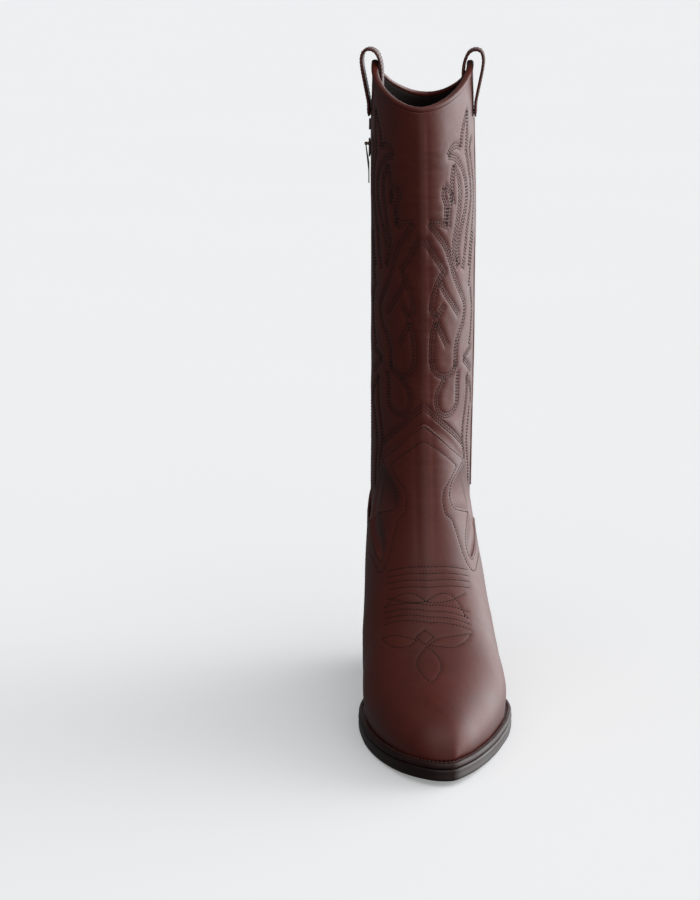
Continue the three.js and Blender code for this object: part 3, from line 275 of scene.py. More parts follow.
def leather_nodes(dark, mid, light, r0, r1, grain=.00012, cloud=38):
    def build(nt, b):
        t = NT(nt)
        big = t.noise(cloud, 4, .55); fine = t.noise(420, 3, .6)
        col = t.ramp(big, [(.28, dark), (.5, mid), (.74, light)])
        col = t.mix(t.rng(fine, .35, .7, 0.0, .16), col, tuple(c * .55 for c in dark), "MIX")
        t.link(col, b.inputs["Base Color"])
        t.link(t.math("ADD", t.rng(big, .25, .75, r0, r1), t.rng(t.noise(900, 2, .5), .3, .7, -.03, .03)), b.inputs["Roughness"])
        cell = t.voronoi(1150, "DISTANCE_TO_EDGE"); pore = t.rng(cell, 0, .35, 0, 1); soft = t.noise(650, 4, .6)
        h = t.math("ADD", t.math("MULTIPLY", pore, .5), soft)
        n1 = t.bump(h, .34, grain)
        n2 = t.bump(t.noise(150, 3, .5), .25, .00035, n1)
        t.link(n2, b.inputs["Normal"])
    return build
LB = (.116, .0198, .0126)
def tint(k, c=LB): return tuple(min(1, x * k) for x in c)
M_UPPER = material("upper_leather", LB, .42, leather_nodes(tint(.80), tint(1.0), tint(1.16), .36, .46), spec=.40, coat=.05, coat_rough=.25)
M_TRIM = material("trim_leather", tint(.85), .42, leather_nodes(tint(.66), tint(.84), tint(1.0), .36, .48), spec=.42, coat=.04, coat_rough=.3)
def fibre(dark, light, scale=260, r=.9, h=.0004):
    def build(nt, b):
        t = NT(nt); f = t.noise(scale, 5, .7, dist=.6); g = t.noise(scale * 5, 3, .7); c = t.noise(24, 3, .5)
        t.link(t.mix(t.rng(c, .3, .7, .0, .5), t.ramp(f, [(.3, dark), (.7, light)]), dark), b.inputs["Base Color"])
        t.link(t.bump(t.math("ADD", f, t.math("MULTIPLY", g, .6)), .5, h), b.inputs["Normal"]); t.link(t.rng(f, .3, .7, r - .07, r + .05), b.inputs["Roughness"])
    return build
# lining colour set near-black: painted shade for the inside of the boot mouth, much darker than the suede itself
M_LINING_PAINTED_SHADE = material("lining_suede", (.012, .0078, .0062), .9, fibre((.008, .0052, .0042), (.017, .011, .009)), spec=.08)
M_SOCK = material("sock_leather", (.10, .066, .045), .6, fibre((.07, .046, .031), (.12, .08, .055), 180, .62, .0002), spec=.4)
M_BOARD = material("fibre_board", (.42, .33, .22), .9, fibre((.33, .25, .16), (.5, .4, .28), 300, .9, .0003), spec=.3)
M_CORK = material("cork_grains", (.36, .2, .1), .95, fibre((.2, .1, .045), (.46, .28, .14), 420, .92, .0005), spec=.3)
def sole_nodes(dark, light, r0, r1):
    def build(nt, b):
        t = NT(nt); v = t.mapping((1, 1, 9)); lay = t.noise(160, 4, .6, vec=v); c = t.noise(34, 3, .5); g = t.noise(1400, 3, .6)
        t.link(t.mix(t.rng(lay, .35, .7, 0, .65), t.ramp(c, [(.3, dark), (.7, light)]), tuple(x * .55 for x in dark)), b.inputs["Base Color"])
        t.link(t.rng(c, .3, .7, r0, r1), b.inputs["Roughness"])
        t.link(t.bump(t.math("ADD", lay, t.math("MULTIPLY", g, .35)), .35, .00025), b.inputs["Normal"])
    return build
M_SOLE = material("sole_leather_edge", (.022, .010, .008), .38, sole_nodes((.016, .0075, .0062), (.034, .015, .012), .30, .42), spec=.34, coat=.05, coat_rough=.3)
M_WELT = material("welt_leather", (.032, .010, .008), .45, sole_nodes((.020, .0064, .0052), (.042, .0132, .0102), .38, .5), spec=.34)
M_SEAT = material("outsole_underside", (.12, .07, .04), .6, sole_nodes((.09, .05, .03), (.16, .10, .06), .5, .65), spec=.4)
def rubber_nodes(nt, b):
    t = NT(nt); g = t.noise(700, 4, .6); c = t.noise(60, 3, .5)
    t.link(t.ramp(c, [(.3, (.010, .008, .007)), (.7, (.020, .016, .014))]), b.inputs["Base Color"]); t.link(t.bump(g, .3, .0002), b.inputs["Normal"]); t.link(t.rng(c, .3, .7, .6, .78), b.inputs["Roughness"])
M_RUBBER = material("top_piece_rubber", (.015, .012, .01), .7, rubber_nodes, spec=.4)
def thread_nodes(dark, light):
    def build(nt, b):
        t = NT(nt); w = t.n("ShaderNodeTexWave"); w.inputs["Scale"].default_value = 900; w.inputs["Distortion"].default_value = 2; t.link(t.co, w.inputs["Vector"])
        t.link(t.ramp(t.noise(300, 2, .5), [(.3, dark), (.7, light)]), b.inputs["Base Color"]); t.link(t.bump(w.outputs["Fac"], .5, .0001), b.inputs["Normal"]); t.link(t.rng(w.outputs["Fac"], 0, 1, .5, .66), b.inputs["Roughness"])
    return build
M_THREAD = material("thread", (.012, .0038, .0034), .65, thread_nodes((.008, .0026, .0023), (.016, .0050, .0044)), spec=.3, sheen=.05)
M_WELTTHREAD = material("welt_thread", (.085, .022, .016), .6, thread_nodes((.065, .016, .012), (.105, .028, .021)), spec=.4, sheen=.1)
def metal_nodes(c0, c1, r0, r1):
    def build(nt, b):
        t = NT(nt); v = t.mapping((1, 1, .08)); s = t.noise(2600, 3, .6, vec=v); c = t.noise(240, 3, .6)
        t.link(t.ramp(c, [(.3, c0), (.7, c1)]), b.inputs["Base Color"]); t.link(t.rng(s, .3, .7, r0, r1), b.inputs["Roughness"]); t.link(t.bump(s, .12, .00006), b.inputs["Normal"])
    return build
M_ZIP = material("zip_metal", (.12, .085, .06), .32, metal_nodes((.09, .062, .044), (.17, .125, .09), .26, .40), metal=1.0)
M_STEEL = material("plain_steel", (.5, .5, .5), .35, metal_nodes((.42, .42, .43), (.58, .58, .6), .28, .42), metal=1.0)
def tape_nodes(nt, b):
    t = NT(nt); w = t.n("ShaderNodeTexWave", bands_direction="Z"); w.inputs["Scale"].default_value = 560; w.inputs["Distortion"].default_value = 1.5; t.link(t.co, w.inputs["Vector"])
    t.link(t.ramp(w.outputs["Fac"], [(.2, (.008, .005, .0045)), (.8, (.024, .014, .012))]), b.inputs["Base Color"]); t.link(t.bump(w.outputs["Fac"], .6, .0002), b.inputs["Normal"]); t.link(t.rng(w.outputs["Fac"], 0, 1, .8, .95), b.inputs["Roughness"])
M_TAPE = material("woven_zip_tape", (.015, .01, .009), .9, tape_nodes, spec=.3, sheen=.2)

for nm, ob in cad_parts.items():
    m = {"vamp_lining": M_LINING_PAINTED_SHADE, "shaft_lining_front": M_LINING_PAINTED_SHADE, "shaft_lining_back": M_LINING_PAINTED_SHADE, "sock_liner": M_SOCK, "insole_board": M_BOARD, "toe_puff": M_BOARD, "counter_stiffener": M_BOARD,
         "cork_filler": M_CORK, "steel_shank": M_STEEL, "outsole": M_SOLE, "welt": M_WELT, "heel_rand": M_WELT, "heel_wedge": M_SOLE, "heel_top_piece": M_RUBBER, "collar_binding_front": M_TRIM,
         "collar_binding_back": M_TRIM, "lateral_seam_piping": M_TRIM, "medial_seam_cover": M_TRIM}.get(nm)
    if m is None: m = M_STEEL if nm.startswith("heel_nail") else M_SOLE if nm.startswith("heel_lift") else M_TAPE if nm.startswith("zip_tape") else M_ZIP if nm.startswith("zip_") else M_TRIM if "strap" in nm else M_UPPER
    ob.data.materials.clear(); ob.data.materials.append(m)

# ------------------------------------------------------------------ decorative stitching
# shaft pattern, in millimetres: distance round the leather from the front middle line, and height; the other half is its mirror
SHAFT = [
 [(53.5, 403.5), (47.7, 397.5), (41.5, 388.6), (39.3, 380.0)],
 [(39.3, 380), (32.8, 382.0), (26.7, 380.6), (22.6, 375.6)],
 [(22.6, 375.6), (31.9, 373.5), (40.9, 366.3), (46.3, 357.2), (47.2, 348.2), (44.6, 339.8), (40.0, 332.2), (35.0, 324.0), (31.8, 314.0), (32.8, 302.8)],
 [(53.5, 403.5), (52.6, 393.0), (48.6, 376.6)],
 [(48.6, 376.6), (53.6, 367.0), (56.8, 355.6), (56.6, 345.6), (52.6, 335.4), (47.4, 325.2), (44.2, 312.0), (39.6, 299.5)],
 [(64.5, 385.0), (57.5, 379.2), (61.8, 368.5), (66.0, 356), (66.0, 342), (61.5, 327), (56.0, 312), (52, 300)],
 [(29.1, 369.8), (27.2, 362.8), (25.9, 354.0), (27.6, 343.5)],
 [(29.1, 369.8), (34.4, 361.3), (36.5, 353.0), (35.5, 343.5), (33.1, 335.0), (29.5, 325.5), (26.8, 315.1), (28.6, 307.6), (32.8, 301.8)],
 [(18.2, 356.0), (17.6, 350.0), (19.8, 344.4), (19.4, 337.1), (18.4, 331.6)],
 [(18.2, 356.0), (22.9, 353.8), (25.7, 349.7), (24.3, 345.6), (22.1, 339.5), (21.1, 329.6)],
 [(5.4, 333.6), (13.7, 332.6), (21.1, 329.7)],
 [(5.3, 332.9), (11.3, 325.5), (18.5, 316.6), (22.4, 308.8), (26.0, 300.0), (31.8, 290.3), (38.2, 282.1), (42.4, 276.7), (43.0, 270.0), (39.5, 262.3), (33.4, 255.1), (30.2, 248.1), (29.7, 241.5), (30.4, 233.6)],
 [(1.2, 322.6), (8.7, 311.4), (16.8, 300.4)],
 [(16.8, 300.4), (12.6, 295.5), (9.9, 290.3), (7.9, 283.4), (6.5, 277.3), (7.2, 273.6), (9.9, 269.4)],
 [(9.9, 269.4), (13.9, 274.0), (16.4, 277.2)],
 [(13.2, 294.0), (17.2, 287.0), (24.0, 279.2), (33.0, 270.0)],
 [(9.8, 267.0), (7.4, 258.9), (6.2, 249.0), (6.5, 239.0), (9.9, 232.1), (15.9, 229.2), (23.2, 229.6), (28.8, 233.1), (30.3, 238.5)],
 [(9.8, 267.0), (14.3, 258.7), (19.5, 250.2)],
 [(19.0, 228.1), (15.0, 223.6), (11.3, 218.5), (10.4, 211.5), (13.0, 205.0), (20.0, 202.0), (28.9, 203.4), (34.6, 208.0), (35.0, 214), (34.2, 222.0), (34.8, 231.0)],
 [(0.2, 210.0), (14.2, 198.2), (31.0, 188.5), (48.5, 179.6)],
 [(42.2, 238.0), (50, 241.0), (60.6, 244.1)],
 [(42.2, 238.0), (50.9, 233.5), (63.0, 227.0)],
 [(66.0, 322), (61.0, 309.3), (55.9, 297), (52.5, 286)],
 [(56.9, 284.8), (60.9, 272.0), (58.3, 257.6), (54, 246)],
 [(51.3, 225.4), (54.0, 212.7), (52.6, 199.8), (49.4, 188.3), (50.5, 179.1), (55.0, 169.2), (59.4, 156.5), (64.8, 145.0), (72.0, 136.4)],
 [(51.3, 225.4), (59.0, 219.4), (66.8, 212.5), (71, 203)],
 [(66.8, 202.3), (63.3, 188.5), (61.8, 177.3), (67.4, 164.9), (72.1, 151.3), (72.0, 136.4)],
]
def az_to_uv(a, z, sgn, back=False):
    a = np.asarray(a, float); z = np.asarray(z, float); u = np.full(a.shape, 18.)
    for _ in range(4):
        L = halfL(u, sgn); v = sgn * np.clip((1 - a / L) if back else a / L, 0, 1)
        u = bisect(lambda m: bil(G, m, v)[..., 2] < z, np.full(a.shape, 10.), np.full(a.shape, 23.))
    return u, v
def offset_line(p, d):
    t = np.gradient(p, axis=0); t /= np.maximum(np.linalg.norm(t, axis=1, keepdims=True), 1e-9)
    return p + np.stack([-t[:, 1], t[:, 0]], 1) * d

class Lines:
    """rows of stitching on the leather: each is an array of surface points with normals"""
    def __init__(s): s.rows = []
    def add(s, u, v, off): s.rows.append((np.asarray(u, float), np.asarray(v, float), np.broadcast_to(np.asarray(off, float), np.shape(u)).copy()))
    def points(s): return np.vstack([P(u, v, o) for u, v, o in s.rows]) if s.rows else np.zeros((0, 3))

def tree_of(points):
    t = KDTree(len(points))
    for i, p in enumerate(points): t.insert(Vector(p), i)
    t.balance(); return t
def tree_dist(tree, pts):
    out = np.empty(len(pts))
    for i, p in enumerate(pts): out[i] = tree.find(p)[2]
    return out

shaft_front_rows, shaft_back_rows = Lines(), Lines()
z_seam_ok = lambda z: True
for line in SHAFT:
    dense = catmull(line, .8)
    for d in (-1.7, 0, 1.7):
        q = offset_line(dense, d)
        q = q[(q[:, 0] > .4)]
        if len(q) < 4: continue
        for sgn in (1, -1):
            for back in (False, True):
                u, v = az_to_uv(q[:, 0], q[:, 1], sgn, back)
                s = side_v(u); L = halfL(u, sgn); clear = (2.6 if sgn > 0 else 9.0) / L
                keep = (np.abs(v) < s - clear) if not back else (np.abs(v) > s + clear)
                low = 14.0 if not back else 15.6
                if back:   # the counter covers the lower back
                    keep &= q[:, 1] > 172 - 55 * np.clip(1 - (np.abs(v) - s) / .5, 0, 1) * 1.0
                runs = np.split(np.arange(len(q)), np.where(np.diff(keep.astype(int)) != 0)[0] + 1)
                for r in runs:
                    if keep[r[0]] and len(r) > 4: (shaft_back_rows if back else shaft_front_rows).add(u[r], v[r], 0)

# vamp stitching in (u, distance round from the middle line)
VAMP_ROWS = []
for ue, uc in ((11.16, 10.80), (10.96, 10.57), (10.77, 10.34), (10.56, 10.11)):
    a = np.linspace(-29.5, 30.5, 25); VAMP_ROWS.append(np.stack([uc + (ue - uc) * (np.abs(a) / 30) ** 1.25, a], 1))
for ul, uc, ur in ((10.09, 9.51, 9.66), (9.89, 9.29, 9.42), (9.68, 9.07, 9.19), (9.47, 8.86, 8.97)):
    a = np.linspace(-33.5, 28.8, 25); VAMP_ROWS.append(np.stack([np.where(a < 0, uc + (ul - uc) * (np.abs(a) / 33.5) ** 1.15, uc + (ur - uc) * (np.abs(a) / 28.8) ** 1.15), a], 1))
for line in ([(10.03, -32.7), (10.13, -25.9), (10.10, -16.1), (9.95, -8.8), (9.62, -1.5)], [(9.62, -1.5), (9.83, 4.2), (9.98, 9.8), (9.96, 17), (9.73, 22), (9.42, 26.0)],
             [(9.62, -1.5), (9.60, 4), (9.66, 9.5), (9.85, 16.9), (10.27, 26.5)], [(9.62, -1.5), (9.66, -9), (9.86, -18), (10.30, -30.5)],
             [(7.96, -1.7), (8.22, 5), (8.47, 16.6), (8.83, 29.5)], [(8.83, 29.5), (8.33, 23.4), (7.97, 14.7), (7.93, 4.7), (7.96, -1.7)],
             [(8.99, -35.4), (8.85, -28.2), (8.69, -22.5), (8.42, -14.7), (8.23, -8.6)], [(8.23, -8.6), (8.08, -14.2), (8.14, -20.5), (8.45, -28), (8.99, -35.4)],
             [(8.36, -9.3), (8.58, -3.2)], [(8.58, -3.2), (8.29, 2.6)], [(8.29, 2.6), (8.01, -3.4)], [(8.01, -3.4), (8.36, -9.3)],
             [(7.93, -2.5), (7.62, -7.2), (7.26, -10.0), (6.75, -7.6), (6.31, -2.0), (6.68, 3.4), (7.1, 5.6), (7.54, 3.3), (7.93, -2.5)]):
    VAMP_ROWS.append(np.array(line, float))

# plane used for the cut pieces: X is the distance round from the front (or back) middle line, Y the length along it
RIDGE = np.r_[0, np.cumsum(np.linalg.norm(np.diff(G[:, NV], axis=0), axis=1))]
BACKL = np.r_[0, np.cumsum(np.linalg.norm(np.diff(G[:, -1], axis=0), axis=1))]
def to_plane(u, v, back=False):
    L = halfL(u, v); return np.stack([((1 - np.abs(v)) * np.sign(v) if back else v) * L, np.interp(u, US, BACKL if back else RIDGE)], -1)
def from_plane(q, back=False, sgn=1):
    u = np.interp(q[:, 1], BACKL if back else RIDGE, US)
    if back: v = sgn * (1 - np.abs(q[:, 0]) / np.maximum(halfL(u, sgn), 1e-6)); return u, np.clip(v, -1, 1)
    return u, np.clip(q[:, 0] / np.maximum(halfL(u, q[:, 0]), 1e-6), -1, 1)

def outline(segments, back=False, step=1.3):
    """closed outline in the plane from segments of (u, v) points; each is smooth ('c') or straight ('l'), and is or isn't a cut edge"""
    pts, edge = [], []
    for p, kind, is_edge in segments:
        p = np.array(p, float); q = to_plane(p[:, 0], p[:, 1], back)
        if kind == "c": q = catmull(q, .8)
        elif kind == "f":   # follows the feather edge: dense in (u, v)
            uu = np.linspace(p[0, 0], p[-1, 0], 60); vv = np.interp(uu, np.sort(p[:, 0]), p[np.argsort(p[:, 0]), 1]); q = to_plane(uu, vv, back)
        q = resample(q, step) if kind != "l" else np.vstack([resample(q[k:k + 2], step)[(1 if k else 0):] for k in range(len(q) - 1)])
        pts.append(q[:-1]); edge += [is_edge] * (len(q) - 1)
    return np.vstack(pts), np.array(edge)

def edge_rows(pts, edge, d, keep=None):
    """rows of stitching d millimetres inside the cut edges of an outline"""
    n = len(pts); area = (pts[:, 0] * np.roll(pts[:, 1], -1) - np.roll(pts[:, 0], -1) * pts[:, 1]).sum()
    t = np.roll(pts, -1, axis=0) - np.roll(pts, 1, axis=0); t /= np.maximum(np.linalg.norm(t, axis=1, keepdims=True), 1e-9)
    q = pts + np.stack([-t[:, 1], t[:, 0]], 1) * d * (1 if area > 0 else -1)
    B = pts[edge]; ok = edge & (np.sqrt(((q[:, None] - B[None]) ** 2).sum(-1)).min(1) > d - .12)
    if keep is not None: ok &= keep(q)
    k0 = int(np.argmin(ok)); order = np.r_[k0:n, 0:k0]; ok = ok[order]; q = q[order]; out = []
    for r in np.split(np.arange(n), np.where(np.diff(ok.astype(int)) != 0)[0] + 1):
        if ok[r[0]] and len(r) > 3: out.append(q[r])
    return out

def cut_piece(pts, edge, spacing, back=False, sgn=1):
    """triangulated plane mesh inside an outline, with extra rings beside its edges; returns plane points, triangles and
    distance to the cut edges
    """
    n = len(pts); area = (pts[:, 0] * np.roll(pts[:, 1], -1) - np.roll(pts[:, 0], -1) * pts[:, 1]).sum(); sg = 1 if area > 0 else -1
    t = np.roll(pts, -1, axis=0) - np.roll(pts, 1, axis=0); t /= np.maximum(np.linalg.norm(t, axis=1, keepdims=True), 1e-9)
    inw = np.stack([-t[:, 1], t[:, 0]], 1) * sg
    allp = [pts]
    for d in (.14, .34, .62, .95):
        q = pts + inw * d; md = min_dist(q, pts); ok = (md > d * .9) & in_poly(q[:, 0], q[:, 1], pts); allp.append(q[ok])
    lo, hi = pts.min(0), pts.max(0); ys = np.arange(lo[1], hi[1], spacing * .87); G2 = []
    for k, y in enumerate(ys):
        xs = np.arange(lo[0], hi[0], spacing) + (spacing / 2 if k % 2 else 0); G2.append(np.stack([xs, np.full(len(xs), y)], 1))
    G2 = np.vstack(G2); G2 = G2[in_poly(G2[:, 0], G2[:, 1], pts)]; G2 = G2[min_dist(G2, pts) > spacing * .62 + .5]
    allp.append(G2); V = np.vstack(allp)
    edges = [(i, (i + 1) % n) for i in range(n)]
    res = delaunay_2d_cdt([Vector((float(a), float(b))) for a, b in V], edges, [], 1, 1e-5, True)
    vo = np.array([(c[0], c[1]) for c in res[0]]); tri = np.array([f for f in res[2] if len(f) == 3])
    e = pts[edge | np.roll(edge, 1)] if edge.any() else pts[:0]
    segs = [(pts[i], pts[(i + 1) % n]) for i in range(n) if edge[i]]
    dist = np.full(len(vo), 99.)
    if segs:
        A = np.array([s[0] for s in segs]); Bp = np.array([s[1] for s in segs]); E = Bp - A; ll = (E * E).sum(-1) + 1e-12
        for k in range(0, len(vo), 3000):
            a = vo[k:k + 3000, None]; tt = np.clip(((a - A) * E).sum(-1) / ll, 0, 1); r = A + E * tt[..., None] - a
            dist[k:k + 3000] = np.sqrt((r * r).sum(-1)).min(1)
    return vo, tri, dist

# shaft relief: soft unevenness, folds at the front and pulled-in stitching
def relief(pts, tree, amp=1.0, puff=1.0, u=None, v=None):
    r = amp * (1.0 * noise3(pts, 34) + .45 * noise3(pts, 15) + .12 * noise3(pts, 6))
    if tree is not None:
        d = tree_dist(tree, pts)
        r = r - .36 * np.exp(-(d / .62) ** 2) * puff + .34 * puff * (1 - np.exp(-(d / 2.4) ** 2)) * np.exp(-(d / 9.0) ** 2)
    return r
def front_folds(pts, u, v):
    """fold line down the middle of the front, and the fine creases beside it"""
    L = halfL(u, v); a = v * L; z = pts[:, 2]
    r = .55 * np.exp(-(a / 3.2) ** 2) * smoothstep((z - 118) / 40) * (1 - smoothstep((z - 385) / 25))
    r -= .28 * np.exp(-((a - 4.6) / 1.6) ** 2) * smoothstep((z - 170) / 40) * (1 - smoothstep((z - 385) / 25))
    q = pts * np.array([1, 1, 5.5]); w = np.exp(-((np.abs(a) - 6) / 13) ** 2)
    r += .34 * w * (noise3(q, 17) + .5 * noise3(q, 8)) * smoothstep((z - 190) / 40) * (1 - smoothstep((z - 375) / 25)) * (np.abs(a) > 1.2)
    return r

T_OV, OVL = 1.2, 1.0
lift = lambda u: np.clip((u - 9.5) / 1.3, 0, 1) * (T_OV + OVL)
row_step = .85
front_pts = np.vstack([bil(G, u, v) for u, v, o in shaft_front_rows.rows]); back_pts = np.vstack([bil(G, u, v) for u, v, o in shaft_back_rows.rows])
TREE_F = tree_of(front_pts); TREE_B = tree_of(back_pts)

def panel(name, back, replaces, off=0.0, thick=1.2):
    """a shaft leather: fine grid between the side seams with rolled edges"""
    zb = 60.0 if not back else 60.0
    nrow = int((430 - 60) / row_step)
    ts = np.linspace(0, 1, nrow)
    # columns, denser at both cut edges
    core = np.linspace(0, 1, int(170 / row_step)); e = np.array([0, .0009, .0022, .0042, .007])
    cs = np.unique(np.r_[e, core[(core > .009) & (core < .991)], 1 - e])
    U0 = 11.3 if not back else 13.1
    top_drop = .5
    # top end of every column depends on the collar; side columns are found per row
    w_of = (lambda c: -.5 + c) if not back else (lambda c: .5 + c)      # back runs from .5 to 1.5, wrapping at 1
    wc = w_of(cs); ww = np.where(wc > 1, wc - 2, wc)
    ztop = collar_z(ww) - top_drop + 1.2
    utop = u_at(ww, ztop)
    UU = U0 + (utop[None, :] - U0) * ts[:, None]
    s = side_v(UU); LM = halfL(UU, -1); LL_ = halfL(UU, 1)
    uz = UU
    vz = v_at_zip(uz, (3.4 if not back else -3.4) * 1.0)
    vside_m = -s - (-1 if not back else 1) * (.35 / LM)
    zrow = bil(G, UU, -s)[..., 2]
    k = smoothstep((zrow - 384.5) / 5.5); k = np.maximum(k, smoothstep((129 - zrow) / 6))
    vM = vz * (1 - k) + vside_m * k
    vL = s + (-1 if not back else 1) * .35 / LL_
    if not back:
        VV = vM + (vL - vM) * cs[None, :]
        VV = np.where(VV < 0, VV, VV)
    else:
        a = vL; b = 2 + vM; X = a + (b - a) * cs[None, :]; VV = np.where(X > 1, X - 2, X)
    base = P(UU, VV, 0); n = nrm(UU, VV)
    flat = base.reshape(-1, 3); tree = TREE_B if back else TREE_F
    r = relief(flat, tree, amp=.80)
    if not back: r = r + front_folds(flat, UU.ravel(), VV.ravel())
    # edges: rolled down over the last millimetre
    wid = np.linalg.norm(np.diff(base, axis=1), axis=-1); cum = np.concatenate([np.zeros((len(base), 1)), np.cumsum(wid, axis=1)], 1); tot = cum[:, -1:]
    d = np.minimum(cum, tot - cum); R = .75; bev = np.where(d < R, R - np.sqrt(np.maximum(R * R - (R - d) ** 2, 0)), 0)
    dd = np.minimum(1, d / 3.0)
    offs = off - .02 + r.reshape(UU.shape) * dd - bev
    # stay under the overlays
    z = base[..., 2]
    if not back:
        m = smoothstep((15.35 - UU) / .35); offs = offs * (1 - m) + np.minimum(offs, -.05 - .35 * m + .3 * (offs)) * m
    else:
        m = smoothstep((17.3 - UU) / .3); offs = offs * (1 - m) + np.minimum(offs, -.1 + .25 * offs) * m
    out = base + n * offs[..., None]
    inn = base + n * (off - thick)
    nr, nc = UU.shape
    V = np.vstack([out.reshape(-1, 3), inn[:, [0, -1]].reshape(-1, 3), inn[-1].reshape(-1, 3)])
    F = grid_faces(nr, nc).tolist()
    b0 = nr * nc
    for i in range(nr - 1):
        F.append([i * nc, (i + 1) * nc, b0 + 2 * (i + 1), b0 + 2 * i])
        F.append([i * nc + nc - 1, b0 + 2 * i + 1, b0 + 2 * (i + 1) + 1, (i + 1) * nc + nc - 1])
    b1 = b0 + 2 * nr
    for j in range(nc - 1): F.append([(nr - 1) * nc + j, (nr - 1) * nc + j + 1, b1 + j + 1, b1 + j])
    # outward orientation
    ob = make(name, V, F, M_UPPER, replaces=replaces)
    me = ob.data; f = me.polygons[len(F) // 3 if len(F) // 3 < (nr - 1) * (nc - 1) else 10]
    c = np.array(f.center) * 1000
    i, j = divmod(f.index, nc - 1)
    if np.dot(np.array(f.normal), n[i, j]) < 0: me.flip_normals()
    return ob

def rows_offset(u, v, back=False, tree=None):
    """offset of the panel's surface under a stitch"""
    flat = bil(G, u, v); r = .80 * (1.0 * noise3(flat, 34) + .45 * noise3(flat, 15) + .12 * noise3(flat, 6)) - .34
    if not back: r = r + front_folds(flat, u, v)
    return r

panel("shaft_leather_front", False, ["shaft_front"])
panel("shaft_leather_back", True, ["shaft_back"])

# ---- overlays cut from leather: the vamp and the counter
FE = 1.0
vamp_half = [([(11.33, .975), (12.12, .744), (13.75, .497), (13.95, .478)], "c", True), ([(13.95, .478), (13.86, .435), (13.62, .395), (13.30, .376)], "c", True),
             ([(13.30, .376), (13.01, .378), (12.39, .347), (11.93, .314), (11.70, .282), (11.86, .258), (12.16, .246), (12.73, .26), (13.39, .285)], "c", True),
             ([(13.39, .285), (13.1, .202), (12.97, .143)], "c", True), ([(12.97, .143), (13.18, .124), (13.53, .127), (14.05, .158), (14.68, .202), (15.06, .234)], "c", True),
             ([(15.06, .234), (14.89, .156), (14.82, .106), (14.86, .068), (14.93, .033), (15.11, 0.0)], "l", True)]
feather_up = [([(0.06, 1.0), (11.25, 1.0)], "f", False), ([(11.25, 1.0), (11.33, .975)], "l", False)]
seg = []
seg += feather_up + vamp_half
for p, kind, e in reversed(vamp_half): seg.append(([(a, -b) for a, b in reversed(p)], kind, e))
seg += [([(11.33, -.975), (11.25, -1.0)], "l", False), ([(11.25, -1.0), (0.06, -1.0)], "f", False), ([(0.06, -1.0), (0.06, 1.0)], "l", False)]
VP, VE = outline(seg)
def drop_close(p, e):
    keep = np.ones(len(p), bool); last = p[-1]
    for i in range(len(p)):
        if np.linalg.norm(p[i] - last) < .12: keep[i] = False
        else: last = p[i]
    return p[keep], e[keep]
VP, VE = drop_close(VP, VE)
vamp_lines = Lines()
def add_plane_rows(lines, qs, off, back=False, sgn=1):
    for q in qs:
        if len(q) < 4: continue
        q = resample(catmull(resample(q, 3.0), .8), .8)
        u, v = from_plane(q, back, sgn); lines.add(u, v, off(u))
add_plane_rows(vamp_lines, edge_rows(VP, VE, 1.7, keep=lambda q: q[:, 1] > np.interp(11.45, US, RIDGE)), lift)
# second row: follows the notch five millimetres out, then the inner diamond of the tongue
inner = [(12.51, .133), (12.59, .093), (12.97, .075), (13.3, .08), (13.78, .114), (14.39, .152)]
for sg in (1, -1):
    q = to_plane(np.array([p[0] for p in inner]), np.array([p[1] for p in inner]) * sg); add_plane_rows(vamp_lines, [q], lift)
    q = to_plane(np.array([14.39, 14.42, 14.49, 14.60]), np.array([.152, .068, .035, 0.001]) * sg); add_plane_rows(vamp_lines, [resample(q, 1.5)], lift)
    q = to_plane(np.array([12.51, 12.11, 11.66, 11.35, 11.26, 11.40, 11.66, 12.19]), np.array([.133, .17, .209, .25, .29, .33, .351, .40]) * sg); add_plane_rows(vamp_lines, [q], lift)
for r in VAMP_ROWS:
    q = catmull(np.stack([r[:, 1], np.interp(r[:, 0], US, RIDGE)], 1), .8)
    u = np.interp(q[:, 1], RIDGE, US); v = q[:, 0] / halfL(u, q[:, 0]); vamp_lines.add(u, v, lift(u))
TREE_V = tree_of(np.vstack([bil(G, u, v) for u, v, o in vamp_lines.rows])[::2])

